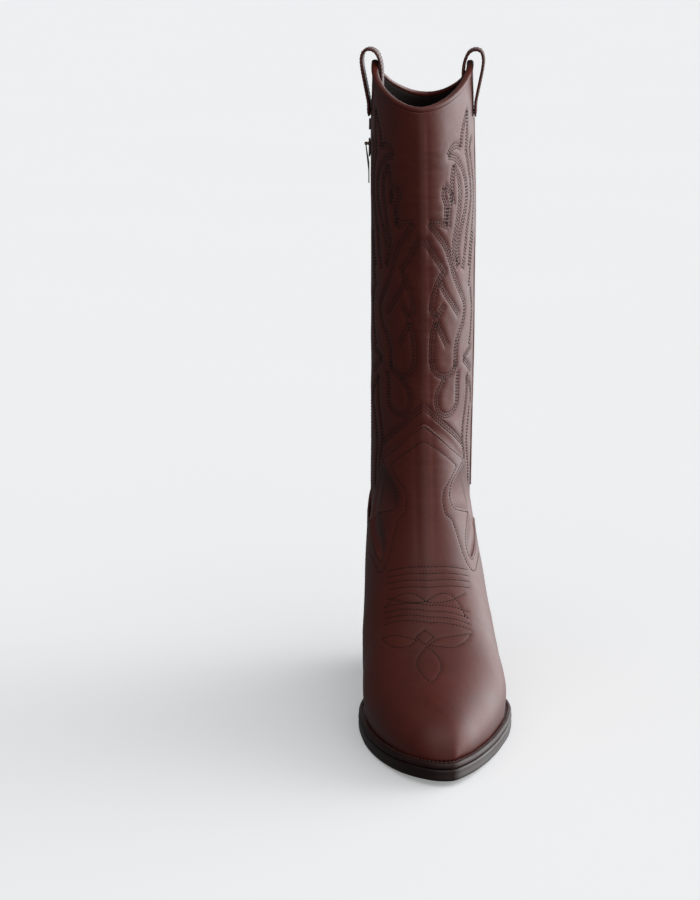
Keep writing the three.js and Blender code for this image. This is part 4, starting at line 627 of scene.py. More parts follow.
def overlay(name, parts, top, thick, mat, replaces, lines_tree, spacing, amp):
    VS, FS, base = [], [], 0
    for pts, edge, back, sgn in parts:
        q, tri, dist = cut_piece(pts, edge, spacing, back, sgn)
        u, v = from_plane(q, back, sgn); b = bil(G, u, v); n = nrm(u, v)
        R = .85; bev = np.where(dist < R, R - np.sqrt(np.maximum(R * R - (R - dist) ** 2, 0)), 0)
        rel = amp * (1.0 * noise3(b, 34) + .4 * noise3(b, 15))
        if lines_tree is not None:
            dd = tree_dist(lines_tree, b); rel = rel - .28 * np.exp(-(dd / .75) ** 2) + .12 * (1 - np.exp(-(dd / 2.2) ** 2)) * np.exp(-(dd / 6) ** 2)
        if name.startswith("vamp"):
            a = v * halfL(u, v); rel = rel + .55 * np.exp(-(a / 3.4) ** 2) * smoothstep((u - 8.6) / 2.5) - .2 * np.exp(-((np.abs(a) - 5.2) / 1.8) ** 2) * smoothstep((u - 10) / 2.5)
            qq = b * np.array([1, 1, 4.5]); rel = rel + .26 * np.exp(-((np.abs(a) - 8) / 13) ** 2) * (noise3(qq, 17) + .5 * noise3(qq, 8)) * smoothstep((u - 11.2) / 1.5)
        off = top(u) + rel * np.minimum(1, dist / 2.5) - bev
        Vt = b + n * off[:, None]; VS.append(Vt)
        # orientation of the triangles
        e1 = Vt[tri[:, 1]] - Vt[tri[:, 0]]; e2 = Vt[tri[:, 2]] - Vt[tri[:, 0]]; c = np.cross(e1, e2); s = (c * n[tri[:, 0]]).sum(-1)
        if (s < 0).mean() > .5: tri = tri[:, ::-1]
        FS += (tri + base).tolist()
        # rim down to the leather below
        cnt = {}
        for t in tri:
            for k in range(3):
                e = (int(t[k]), int(t[(k + 1) % 3])); cnt[e] = cnt.get(e, 0) + 1
        rim = [e for e in cnt if (e[1], e[0]) not in cnt]
        ids = sorted({i for e in rim for i in e}); low = {i: k for k, i in enumerate(ids)}
        Vl = b[ids] + n[ids] * (top(u[ids]) - thick)[:, None]; VS.append(Vl); nb = base + len(Vt)
        for i, j in rim: FS.append([base + j, base + i, nb + low[i], nb + low[j]])
        base = nb + len(ids)
    ob = make(name, np.vstack(VS), FS, mat, replaces=replaces)
    bm = bmesh.new(); bm.from_mesh(ob.data); bmesh.ops.remove_doubles(bm, verts=bm.verts, dist=2e-6); bm.to_mesh(ob.data); bm.free()
    ob.data.polygons.foreach_set("use_smooth", [True] * len(ob.data.polygons)); ob.data.update()
    return ob
SP = 1.15
overlay("vamp_leather", [(VP, VE, False, 1)], lambda u: lift(u), 1.25, M_UPPER, ["vamp"], TREE_V, SP, .22)

counter_lines = Lines(); parts = []
for sgn in (1, -1):
    top_edge = [(11.37, .987), (12.15, .759), (13.78, .515), (13.98, .496), (14.4, .499), (15.03, .527), (15.5, .59), (15.9, .66), (16.35, .775), (16.75, .885), (16.97, .96), (17.03, 1.0)]
    low, cur = top_edge[:4], top_edge[3:]
    sg = [([(a, b * sgn) for a, b in low], "c", True), ([(a, b * sgn) for a, b in cur], "c", True), ([(17.03, sgn * 1.0), (15.0, sgn * 1.0)], "f", False), ([(15.0, sgn * 1.0), (11.37, sgn * 1.0)], "f", False), ([(11.37, sgn * 1.0), (11.37, sgn * .987)], "l", False)]
    cp, ce = outline(sg, back=True); cp, ce = drop_close(cp, ce)
    parts.append((cp, ce, True, sgn))
    add_plane_rows(counter_lines, edge_rows(cp, ce, 1.7, keep=lambda q: q[:, 1] > np.interp(11.6, US, BACKL)), lambda u: np.full(np.shape(u), 2.2), True, sgn)
    add_plane_rows(counter_lines, edge_rows(cp, ce, 4.2, keep=lambda q: q[:, 1] > np.interp(14.2, US, BACKL)), lambda u: np.full(np.shape(u), 2.2), True, sgn)
TREE_C = tree_of(np.vstack([bil(G, u, v) for u, v, o in counter_lines.rows])[::2])
overlay("heel_counter_leather", parts, lambda u: np.full(np.shape(u), T_OV + OVL), 1.25, M_UPPER, ["heel_counter"], TREE_C, SP, .28)

# ---- linings, seen down the mouth of the boot; their near-black colour is painted shade for the inside of the mouth
def lining(name, back, replaces):
    nr, nc = 150, 90; ts = np.linspace(0, 1, nr); cs = np.linspace(0, 1, nc); wc = (-.5 + cs) if not back else (.5 + cs); ww = np.where(wc > 1, wc - 2, wc)
    ut = u_at(ww, collar_z(ww) + .6); U0 = 11.3; UU = U0 + (ut[None, :] - U0) * ts[:, None]; VV = toV(UU, np.broadcast_to(ww, UU.shape)).copy()
    base = P(UU, VV, 0); n = nrm(UU, VV); r = .25 * noise3(base, 26) + .1 * noise3(base, 9)
    inn = base + n * (-3.75 + r)[..., None]; out = base + n * -3.05
    V = np.vstack([inn.reshape(-1, 3), out[-1]]); F = grid_faces(nr, nc, flip=True).tolist()
    for j in range(nc - 1): F.append([(nr - 1) * nc + j, nr * nc + j, nr * nc + j + 1, (nr - 1) * nc + j + 1])
    return make(name, V, F, M_LINING_PAINTED_SHADE, replaces=replaces)
lining("shaft_lining_suede_front", False, ["shaft_lining_front"]); lining("shaft_lining_suede_back", True, ["shaft_lining_back"])
def foot_lining():
    nr, nc = 90, 80; UU = np.linspace(.35, 11.32, nr)[:, None] + np.zeros((1, nc)); VV = np.linspace(-1, 1, nc)[None, :] + np.zeros((nr, 1))
    base = P(UU, VV, 0); n = nrm(UU, VV); V = (base + n * -3.6).reshape(-1, 3)
    return make("vamp_lining_suede", V, grid_faces(nr, nc, flip=True), M_LINING_PAINTED_SHADE, replaces=["vamp_lining"])
foot_lining()

# ---- sweeps: collar binding, piping, seam cover
def sweep(name, O, N, B, ring, mat, body="boot", replaces=(), caps=True, blend=None):
    O, N, B = np.asarray(O), np.asarray(N), np.asarray(B); ring = np.asarray(ring); nr, nc = len(O), ring.shape[-2]
    R = ring if ring.ndim == 3 else np.broadcast_to(ring, (nr, nc, 2))
    V = (O[:, None] + N[:, None] * R[..., :1] + B[:, None] * R[..., 1:]).reshape(-1, 3); F = grid_faces(nr, nc, wrap=True).tolist()
    if caps: F += [list(range(nc))[::-1], [(nr - 1) * nc + k for k in range(nc)]]
    return make(name, V, F, mat, body, replaces, recalc=True, blend=blend)
def collar_frames(ws, dz=2.05):
    ws = np.asarray(ws, float); ww = np.where(ws > 1, ws - 2, ws); z = collar_z(ww); u = u_at(ww, z); v = toV(u, ww); n = nrm(u, v).copy(); n[:, 2] = 0; n /= np.linalg.norm(n, axis=1, keepdims=True)
    return P(u, v, 0) + np.array([0, 0, dz]), n, np.tile([0, 0, 1.], (len(ws), 1)), u, v
ph = np.linspace(0, 2 * np.pi, 22, endpoint=False)
bead = np.stack([-1.85 + 2.25 * np.sign(np.cos(ph)) * np.abs(np.cos(ph)) ** .8, .1 + 2.0 * np.sign(np.sin(ph)) * np.abs(np.sin(ph)) ** .85], 1); bead[:, 1] = np.maximum(bead[:, 1], -1.7)
for name, a, b, rep in (("collar_binding_leather_front", -.4975, .4975, "collar_binding_front"), ("collar_binding_leather_back", .5025, 1.4975, "collar_binding_back")):
    ws = np.linspace(a, b, 150); O, N, B, u, v = collar_frames(ws); wob = 1 + .05 * noise3(O, 7)[:, None, None]
    sweep(name, O, N, B, bead[None] * wob, M_UPPER, replaces=[rep])
zs = np.linspace(142, 396, 125); fr = [side_frame(z, 1) for z in zs]
prof = np.array([[.05, -1.7], [.4, -1.4], [.72, -.8], [.84, 0], [.72, .8], [.4, 1.4], [.05, 1.7], [-.3, 1.2], [-.3, -1.2]])
sweep("lateral_piping_leather", [f[0] for f in fr], [f[1] for f in fr], [f[2] for f in fr], prof, M_UPPER, replaces=["lateral_seam_piping"])
zs = np.linspace(388, 395, 8); fr = [side_frame(z, -1) for z in zs]
prof = np.array([[.3, -4.2], [.9, -3.9], [1.3, -3.1], [1.35, 0], [1.3, 3.1], [.9, 3.9], [.3, 4.2], [-.2, 3.6], [-.2, -3.6]])
sweep("medial_seam_cover_leather", [f[0] for f in fr], [f[1] for f in fr], [f[2] for f in fr], prof, M_TRIM, replaces=["medial_seam_cover"])

# ------------------------------------------------------------------ sole unit
SOLE = np.array([
 [-139,.6,.6,8,7.6,4.4],[-138.3,5.6,4.8,7.9,7.6,4.4],[-136,10.6,8.2,7.5,7.6,4.4],[-132,15.8,12,6.8,7.6,4.4],[-126,21,16.6,5.6,7.6,4.4],[-118,26.1,22.1,4.1,7.6,4.4],[-108,30.8,28,2.5,7.6,4.4],
 [-95,35.6,34.9,1.1,7.6,4.4],[-80,39.7,41.8,.3,7.6,4.4],[-65,42.7,47.4,0,7.6,4.4],[-50,44.4,52.3,0,7.6,4.4],[-35,45.6,55.3,0,7.6,4.4],[-20,45.4,56.8,0,7.6,4.4],[-5,42.6,54.4,1.4,7.3,4.2],
 [10,38,49.8,4.9,6.9,4.1],[25,33.6,44.6,11.2,6.0,3.8],[40,30.8,40,18.2,5.2,5],[55,29.8,36.6,26.4,5.2,5],[68,29.8,34.8,33.1,5.2,5],[80,30.6,33.6,37.4,5.2,5],[92,31.2,32.8,40.1,5.2,5],
 [104,30.8,31.8,41.6,5.2,5],[115,28.4,29,42.5,5.2,5],[124,24,24.4,43,5.2,5],[131,18.2,18.5,43.2,5.2,5],[136,11,11.2,43.4,5.2,5],[138.3,5.8,5.9,43.5,5.2,5],[139,.8,.8,43.5,5.2,5]], float)
_i0 = int(round(15 / DU)); EY = np.array([station(u)[2] for u in US[:_i0 + 1]]); EZ = np.array([station(u)[3] for u in US[:_i0 + 1]])
for r in SOLE:
    z = float(np.interp(r[0], EY, EZ))
    if -70 < r[0] < -15: r[3] = 0; r[5] = min(z, 12.05) - r[4]
    else: r[3] = max(0, z - r[5] - r[4])
def smooth_fn(x, y):
    xx = np.linspace(x[0], x[-1], 900); yy = np.interp(xx, x, y); k = np.exp(-np.linspace(-2, 2, 33) ** 2); k /= k.sum(); pad = np.r_[np.full(16, yy[0]), yy, np.full(16, yy[-1])]
    ys = np.convolve(pad, k, "valid"); return lambda q: np.interp(q, xx, ys)
z_bot = smooth_fn(SOLE[:, 0], SOLE[:, 3]); s_thick = smooth_fn(SOLE[:, 0], SOLE[:, 4]); f_up = smooth_fn(SOLE[:, 0], SOLE[:, 5])
z_out = lambda y: z_bot(y) + s_thick(y)
z_fea = lambda y: z_out(y) + f_up(y)
ring0 = np.vstack([np.stack([X_HEEL + toe_shift(SOLE[:, 0]) + SOLE[:, 2], SOLE[:, 0]], 1), np.stack([X_HEEL + toe_shift(SOLE[::-1, 0]) - SOLE[::-1, 1], SOLE[::-1, 0]], 1)])
LOOP = resample(catmull(ring0, .7, closed=True), 1.25, closed=True)
def inset_loop(loop, d):
    t = np.roll(loop, -1, axis=0) - np.roll(loop, 1, axis=0); t /= np.maximum(np.linalg.norm(t, axis=1, keepdims=True), 1e-9)
    area = (loop[:, 0] * np.roll(loop[:, 1], -1) - np.roll(loop[:, 0], -1) * loop[:, 1]).sum()
    return loop + np.stack([-t[:, 1], t[:, 0]], 1) * d * (1 if area > 0 else -1)
def inset_safe(loop, d, k=5):
    out = loop
    for _ in range(k): out = inset_loop(out, d / k)
    return out
def rings_object(name, rings, mat, replaces, cap_low=True, cap_high=True, body="boot"):
    """stack of closed rings joined into one skin; the end caps are filled by triangulation"""
    n = len(rings[0]); V = np.vstack(rings); F = grid_faces(len(rings), n, wrap=True).tolist()
    for on, b, fl in ((cap_low, 0, True), (cap_high, (len(rings) - 1) * n, False)):
        if on:
            pts = V[b:b + n]; res = delaunay_2d_cdt([Vector((p[0], p[1])) for p in pts], [(i, (i + 1) % n) for i in range(n)], [], 1, 1e-6, True)
            if len(res[0]) == n:
                ids = [o[0] for o in res[3]]
                F += [[b + ids[k] for k in f] for f in res[2]]
            else: F.append([b + k for k in range(n)])
    return make(name, V, F, mat, body, replaces, recalc=True)
def zr(loop, z): return np.column_stack([loop, z(loop[:, 1]) if callable(z) else np.full(len(loop), float(z))])
# outsole: square-cut edge, eased corners, slightly waisted side
rg = []
for d, h in ((3.0, 0.0), (1.3, 0.02), (.55, .25), (.2, .75), (.12, 2.2), (.30, 3.8), (.12, 5.6), (.02, 6.6), (.3, 7.3), (.9, 7.58), (3.2, 7.6)):
    lp = inset_safe(LOOP, d, 3); rg.append(zr(lp, lambda y, h=h: z_bot(y) + s_thick(y) * h / 7.6))
outsole = rings_object("outsole_leather", rg, [M_SOLE, M_SEAT], ["outsole"])
for f in outsole.data.polygons:
    if f.normal.z < -.93 and f.center.y < .066: f.material_index = 1
# welt round the front, from the breast line forwards, with its own eased edge; rand round the seat
def strip(name, sel, prof, zlow, zhigh, mat, replaces):
    idx = sel; nr = len(idx); R = []
    loops = {}
    for d, t in prof:
        if d not in loops: loops[d] = inset_safe(LOOP, d, 5)
        lp = loops[d][idx]; zl = zlow(lp[:, 1]); zh = zhigh(lp[:, 1]); R.append(np.column_stack([lp, zl + (zh - zl) * t]))
    R = np.stack(R, 1); nc = R.shape[1]; V = R.reshape(-1, 3); F = grid_faces(nr, nc, wrap=True).tolist(); F += [list(range(nc))[::-1], [(nr - 1) * nc + k for k in range(nc)]]
    return make(name, V, F, mat, "boot", replaces, recalc=True)
y = LOOP[:, 1]; n = len(LOOP); k0 = int(np.argmax(y)); order = np.r_[k0:n, 0:k0]
fore = order[y[order] < 40.5]; fore = fore[np.argsort(np.where(fore >= k0, fore, fore + n))]
rear = np.r_[k0 - n // 2:k0 + n // 2] % n; rear = rear[y[rear] > 39.5]
strip("welt_leather_strip", fore, [(.75, 0.0), (.35, .25), (.35, .62), (.8, .93), (1.5, 1.0), (6.0, 1.0), (10.2, .9), (10.2, .0)], lambda y: z_out(y) + .35, lambda y: z_fea(y) - np.where(y < -10, .35, .9), M_WELT, ["welt"])
strip("heel_rand_strip", rear, [(.9, 0.0), (.5, .3), (.6, .7), (1.1, 1.0), (5.5, 1.0), (5.5, 0.0)], lambda y: z_out(y) + .6, lambda y: z_fea(y) - np.where(y > 110, 2.5, 2.2), M_WELT, ["heel_rand"])

def sock_loop(k):
    ys = -4 + 118 * np.sin(np.linspace(-math.pi / 2, math.pi / 2, 90)); L, R = [], []
    for y_ in ys:
        a, b = width_at(y_); c = (a + b) / 2; t = min(1, (1 - min(1, abs((y_ + 4) / 118)) ** 6)); h = max(.02, ((b - a) / 2 - 11.4 - k) * t ** .5); L.append((c - h, y_ * (1 - k / 118))); R.append((c + h, y_ * (1 - k / 118)))
    return np.array(R + L[::-1])
# heel block
def width_at(y):
    a = LOOP; b = np.roll(LOOP, -1, axis=0); m = ((a[:, 1] - y) * (b[:, 1] - y) <= 0) & (a[:, 1] != b[:, 1]); x = a[m, 0] + (b[m, 0] - a[m, 0]) * (y - a[m, 1]) / (b[m, 1] - a[m, 1]); return x.min(), x.max()
rings_object("sock_liner_leather", [np.column_stack([sock_loop(k), z_fea(sock_loop(k)[:, 1]) + h]) for k, h in ((.8, .2), (.2, .4), (0, .8), (.2, 1.1), (.9, 1.28))], M_SOCK, ["sock_liner"])
def heel_loop(z, ins=0.0):
    t = z / 42.5; yb = 77 + (70 - 77) * t; ye = 127.5 + (138.2 - 127.5) * max(t, 0) ** 1.4; s = .9 + .1 * max(t, 0) ** 1.6
    f = np.r_[np.linspace(0, .8, 16), .85, .9, .94, .965, .982, .993, 1.0]; R, L = [], []
    for k in f:
        yy = min(70 + 68.2 * k, 138.4); a, b = width_at(yy); R.append((X_HEEL + (b - X_HEEL) * s - .5, yb + (ye - yb) * k)); L.append((X_HEEL + (a - X_HEEL) * s + .5, yb + (ye - yb) * k))
    wl, wr = L[0][0], R[0][0]; br = [(wl + (wr - wl) * k, yb + 3.2 * (1 - (2 * k - 1) ** 2)) for k in np.linspace(0, 1, 22)[1:-1]]
    p = np.array(R + L[::-1] + br)
    cx, cy = p[:, 0].mean(), p[:, 1].mean()
    if ins: v = p - np.array([cx, cy]); l = np.linalg.norm(v, axis=1, keepdims=True); p = p - v / l * ins
    return p
def heel_slab(name, z0, z1, mat, replaces, e=.28):
    rg = []
    for z, i in ((z0, e * 1.6), (z0 + .12, e * .7), (z0 + e + .1, .05), ((z0 + z1) / 2, 0), (z1 - e - .1, .05), (z1 - .12, e * .7), (z1, e * 1.6)):
        lp = heel_loop(min(z, 42.5), i); rg.append(np.column_stack([lp, np.full(len(lp), z)]))
    return rings_object(name, rg, mat, replaces)
heel_slab("heel_top_piece_rubber", 0, 5.6, M_RUBBER, ["heel_top_piece"], .5)
for k, (a, b) in enumerate([(5.75, 11.25), (11.3, 16.75), (16.8, 22.25), (22.3, 27.75), (27.8, 32.5)]): heel_slab(f"heel_lift_leather_{k + 1}", a, b, M_SOLE, [f"heel_lift_{k + 1}"], .22)
rg = []
for t, i in ((0, .35), (.04, .15), (.3, 0), (.7, 0), (.97, .1), (1, .3)):
    lp = heel_loop(32.6 + 9.5 * t, i); zt = z_bot(lp[:, 1]) - .12; zt = np.maximum(zt, 32.75); rg.append(np.column_stack([lp, 32.6 + (zt - 32.6) * t]))
rings_object("heel_wedge_leather", rg, M_SOLE, ["heel_wedge"])

# ------------------------------------------------------------------ zip
def boxes(name, B, mat, body, replaces, bevel=.12, frame_fn=zip_at):
    """small eased blocks given as (z0, z1, a0, a1, b0, b1) in the zip's own directions"""
    V, F = [], []
    for z0, z1, a0, a1, b0, b1 in B:
        base = len(V); e = min(bevel, (z1 - z0) / 3, (a1 - a0) / 3, (b1 - b0) / 3)
        for zz, k in ((z0, e), (z0 + e, 0), (z1 - e, 0), (z1, e)):
            for a, b in ((a0 + k, b0 + k + (e - k) * 0), (a0 + k + e, b0 + k), (a1 - k - e, b0 + k), (a1 - k, b0 + k + e), (a1 - k, b1 - k - e), (a1 - k - e, b1 - k), (a0 + k + e, b1 - k), (a0 + k, b1 - k)): V.append((zz, a, b))
        for r in range(3):
            for c in range(8): F.append([base + r * 8 + c, base + r * 8 + (c + 1) % 8, base + (r + 1) * 8 + (c + 1) % 8, base + (r + 1) * 8 + c])
        F.append([base + c for c in range(8)][::-1]); F.append([base + 24 + c for c in range(8)])
    V = np.array(V); return make(name, frame_fn(V[:, 0], V[:, 1], V[:, 2]), F, mat, body, replaces, smooth=False, recalc=True)
teeth_f = [(z, z + 1.05, -1.5, -.35, -.35, 1.3) for z in np.arange(130.4, 383.2, 2.3)]; teeth_b = [(z + 1.15, z + 2.2, -1.5, -.35, -1.3, .35) for z in np.arange(130.4, 382.4, 2.3)]
cordf = [(130, 384, -1.6, -.45, 1.3, 2.25)]; cordb = [(130, 384, -1.6, -.45, -2.25, -1.3)]
boxes("zip_teeth_row_front", teeth_f + cordf, M_ZIP, "boot", ["zip_teeth_front"]); boxes("zip_teeth_row_back", teeth_b + cordb, M_ZIP, "boot", ["zip_teeth_back"])
def tape(name, b0, b1, rep):
    zs = np.linspace(128, 386, 130); bs = np.linspace(b0, b1, 9); Z, Bb = np.meshgrid(zs, bs, indexing="ij"); V = np.vstack([zip_at(Z, np.full(Z.shape, -2.28), Bb).reshape(-1, 3), zip_at(Z, np.full(Z.shape, -2.72), Bb).reshape(-1, 3)])
    m = len(zs) * 9; F = grid_faces(130, 9).tolist() + grid_faces(130, 9, base=m, flip=True).tolist()
    return make(name, V, F, M_TAPE, "boot", [rep])
tape("zip_tape_weave_front", 1.2, 6.2, "zip_tape_front"); tape("zip_tape_weave_back", -6.2, -1.2, "zip_tape_back")
def loft_block(name, zs, halfw, a0, a1, mat, body, slot, replaces, hole=None): pass
def slab_outline(pts, a0, a1, e=.22):
    """extruded outline with eased edges: pts are (b, z) corners; returns verts and faces"""
    p = resample(catmull(np.array(pts, float), .4, closed=True), .5, closed=True); n = len(p); V, F = [], []
    for a, i in ((a0, e), (a0 + e * .4, e * .25), (a0 + e, 0), (a1 - e, 0), (a1 - e * .4, e * .25), (a1, e)):
        q = inset_loop(p, i) if i else p; V += [(z, a, b) for b, z in q]
    for r in range(5):
        for c in range(n): F.append([r * n + c, r * n + (c + 1) % n, (r + 1) * n + (c + 1) % n, (r + 1) * n + c])
    F.append(list(range(n))[::-1]); F.append([5 * n + c for c in range(n)]); return V, F
def merged(name, blocks, mat, body, replaces):
    V, F = [], []
    for v, f in blocks: b = len(V); V += list(v); F += [[b + k for k in q] for q in f]
    V = np.array(V, float); return make(name, zip_at(V[:, 0], V[:, 1], V[:, 2]), F, mat, body, replaces, recalc=True)
plate_o = [(-2.2, 370.1), (2.2, 370.1), (3.1, 371.6), (3.6, 374.5), (3.85, 378.5), (3.6, 381.2), (2.4, 381.95), (.9, 380.9), (0, 380.5), (-.9, 380.9), (-2.4, 381.95), (-3.6, 381.2), (-3.85, 378.5), (-3.6, 374.5), (-3.1, 371.6)]
tiny = [(z0, z1, a0, a1, b0, b1) for z0, z1, a0, a1, b0, b1 in ((371.1, 380.9, -2.6, .8, -.42, .42), (371.1, 380.9, -2.72, -1.98, -2.05, 2.05))]
def block(z0, z1, a0, a1, b0, b1, e=.18): return slab_outline([(b0, z0), (b1, z0), (b1, z1), (b0, z1)], a0, a1, e)
def rod(z, a, b0, b1, r, m=14):
    V, F = [], []
    for b, k in ((b0, .6), (b0 + .12, 1), (b1 - .12, 1), (b1, .6)):
        for t in np.linspace(0, 2 * np.pi, m, endpoint=False): V.append((z + r * k * math.cos(t), a + r * k * math.sin(t), b))
    for r_ in range(3):
        for c in range(m): F.append([r_ * m + c, r_ * m + (c + 1) % m, (r_ + 1) * m + (c + 1) % m, (r_ + 1) * m + c])
    F.append(list(range(m))); F.append([3 * m + c for c in range(m)]); return V, F
def post(b):   # curved post of the bridge
    V, F = [], []; path = [(377.75, 1.2), (377.8, 2.2), (377.95, 3.1), (378.5, 3.66), (379.05, 3.1), (379.2, 2.2), (379.25, 1.2)]
    return slab_outline_b(path, b - .45, b + .45)
def slab_outline_b(path, b0, b1):
    p = resample(catmull(np.array(path + [(378.5, 1.25)], float), .3, closed=True), .35, closed=True); n = len(p); V = []; F = []
    for b, i in ((b0, .12), (b0 + .12, 0), (b1 - .12, 0), (b1, .12)):
        q = inset_loop(p, i) if i else p; V += [(z, a, b) for z, a in q]
    for r in range(3):
        for c in range(n): F.append([r * n + c, r * n + (c + 1) % n, (r + 1) * n + (c + 1) % n, (r + 1) * n + c])
    F.append(list(range(n))); F.append([3 * n + c for c in range(n)]); return V, F
merged("zip_slider_body", [slab_outline(plate_o, .32, 1.48, .3), slab_outline([(-2.1, 371), (2.1, 371), (2.1, 381), (-2.1, 381)], -2.74, -1.96, .2), block(371, 381, -2.6, .8, -.42, .42), post(2.35), post(-2.35), rod(378.5, 3.2, -2.5, 2.5, .32)], M_ZIP, "zip_slider", ["zip_slider"])
def ring_tab():
    V, F = [], []
    # eye round the bridge
    m, w = 26, 1.35
    for b, ks in ((-w, 1), (w, 1)):
        for r in (.52, 1.08):
            for t in np.linspace(0, 2 * np.pi, m, endpoint=False): V.append((378.5 + r * math.cos(t), 3.2 + r * math.sin(t), b))
    for c in range(m):
        d = (c + 1) % m; i0, o0, i1, o1 = c, m + c, 2 * m + c, 3 * m + c; j0, p0, j1, p1 = d, m + d, 2 * m + d, 3 * m + d
        F += [[i0, j0, p0, o0], [i1, o1, p1, j1], [o0, p0, p1, o1], [i0, i1, j1, j0]]
    return V, F
tab_pts = [(-1.3, 377.4), (1.3, 377.4), (1.7, 375.8), (2.5, 374.2), (3.2, 371.5), (3.35, 366), (3.35, 357), (3.0, 353.6), (1.8, 352.2), (0, 351.95), (-1.8, 352.2), (-3.0, 353.6), (-3.35, 357), (-3.35, 366), (-3.2, 371.5), (-2.5, 374.2), (-1.7, 375.8)]
def tab_block():
    p = resample(catmull(np.array(tab_pts, float), .4, closed=True), .45, closed=True); n = len(p)
    hc = np.array([0, 357.5]); ang = np.arctan2(p[:, 1] - hc[1], p[:, 0] - hc[0]); h = hc + np.stack([1.5 * np.cos(ang), 2.4 * np.sin(ang)], 1)
    rings = []
    for a, o, i in ((-.38, .2, .16), (-.31, .06, .03), (-.22, 0, 0), (.22, 0, 0), (.31, .06, .03), (.38, .2, .16)): rings.append((a, inset_loop(p, o) if o else p, hc + (h - hc) * (1 + i * .5)))
    V, F = [], []
    bend = lambda z: float(np.interp(z, [352, 365.5, 370.5, 376, 377.4], [1.3, 1.35, 2.2, 3.1, 3.2]))
    for a, o, i in rings: V += [(z, bend(z) + a, b) for b, z in o]; V += [(z, bend(z) + a, b) for b, z in i]
    for r in range(5):
        for c in range(n):
            d = (c + 1) % n; A = r * 2 * n; Bn = (r + 1) * 2 * n
            F.append([A + c, A + d, Bn + d, Bn + c]); F.append([A + n + c, Bn + n + c, Bn + n + d, A + n + d])
    for A in (0, 5 * 2 * n):
        for c in range(n): d = (c + 1) % n; F.append([A + c, A + n + c, A + n + d, A + d])
    return V, F
merged("zip_puller_tab", [tab_block(), ring_tab()], M_ZIP, "zip_puller", ["zip_puller"])
merged("zip_stop_bottom", [block(125.8, 129.6, -1.6, -.2, -2.4, 2.4, .25)], M_ZIP, "boot", ["zip_bottom_stop"])
merged("zip_stops_top", [block(384.4, 386.6, -1.6, -.2, .7, 2.4, .25), block(384.4, 386.6, -1.6, -.2, -2.4, -.7, .25)], M_ZIP, "boot", ["zip_top_stop_front", "zip_top_stop_back"])

# ------------------------------------------------------------------ pull straps
STRAP_PATH = [(1.75, 397.2), (1.8, 401), (1.95, 406), (3.2, 413), (4.8, 421), (6.3, 429), (6.7, 435), (5.2, 439.6), (1.6, 441), (-2.4, 439.4), (-5.0, 435), (-6.3, 429), (-6.5, 420), (-6.3, 409.5), (-6.1, 405), (-5.95, 401), (-6.0, 397.2)]
def strap(side, sgn, body):
    o, n, b = side_frame(424, sgn); c = catmull(np.array(STRAP_PATH, float), .7); t = np.gradient(c, axis=0); t /= np.linalg.norm(t, axis=1, keepdims=True)
    nn = np.stack([t[:, 1], -t[:, 0]], 1)          # outwards of the loop
    s = np.r_[0, np.cumsum(np.linalg.norm(np.diff(c, axis=0), axis=1))]; tot = s[-1]
    taper = np.minimum(smoothstep((s + 1.2) / 5), smoothstep((tot - s + 1.2) / 5)); w = 9.4 + 1.5 * taper; th = .55 + .43 * taper
    O = np.array([o[0], o[1], 0]); V = []; prof = []
    for k in np.linspace(-1, 1, 19): prof.append((k, 1))
    prof = [(-1.0, .0), (-.985, .5), (-.955, .86)] + [(k, 1.0) for k in np.linspace(-.91, .91, 15)] + [(.955, .86), (.985, .5), (1.0, 0), (.985, -.5), (.955, -.86)] + [(k, -1.0) for k in np.linspace(.91, -.91, 15)] + [(-.955, -.86), (-.985, -.5)]
    prof = np.array(prof); nc = len(prof)
    wav = .10 * np.sin(s / 6.5 + sgn)
    A = c[:, None, 0] + nn[:, None, 0] * prof[None, :, 1] * th[:, None] + wav[:, None] * .6; Z = c[:, None, 1] + nn[:, None, 1] * prof[None, :, 1] * th[:, None]; Bc = prof[None, :, 0] * w[:, None]
    crown = -.14 * (1 - np.cos((np.abs(prof[:, 0]) - .78) / .22 * math.pi * 2)) * (np.abs(prof[:, 0]) > .78) * np.sign(prof[:, 1]); A = A + nn[:, None, 0] * crown[None, :]; Z = Z + nn[:, None, 1] * crown[None, :]
    Vp = O + n * A[..., None] + b * Bc[..., None] + np.array([0, 0, 1.]) * Z[..., None]
    F = grid_faces(len(c), nc, wrap=True).tolist() + [list(range(nc))[::-1], [(len(c) - 1) * nc + k for k in range(nc)]]
    st, en = O + np.array([0, 0, 400.]), O + np.array([0, 0, 414.]); bl = ("boot", body, tuple(st / 1000), tuple(en / 1000))
    make(f"pull_strap_leather_{side}", Vp.reshape(-1, 3), F, M_TRIM, replaces=[f"pull_strap_{side}", f"strap_anchor_{side}", f"strap_tab_inside_{side}"], recalc=True, blend=bl)
    rows = []
    for q in (-1, 1):
        for face in (1, -1):
            cc = c + nn * (th * face * 1.0)[:, None]; k = (c[:, 1] < 434)
            for part in np.split(np.arange(len(c)), np.where(np.diff(k.astype(int)) != 0)[0] + 1):
                if k[part[0]] and len(part) > 4: pass
            pts = O + n * cc[:, :1] + np.array([0, 0, 1.]) * cc[:, 1:] + b * (q * (w[:, None] - 1.9)); nr = n * (nn[:, :1] * face) + np.array([0, 0, 1.]) * nn[:, 1:] * face
            rows.append((pts[2:-2], nr[2:-2]))
    return rows, bl

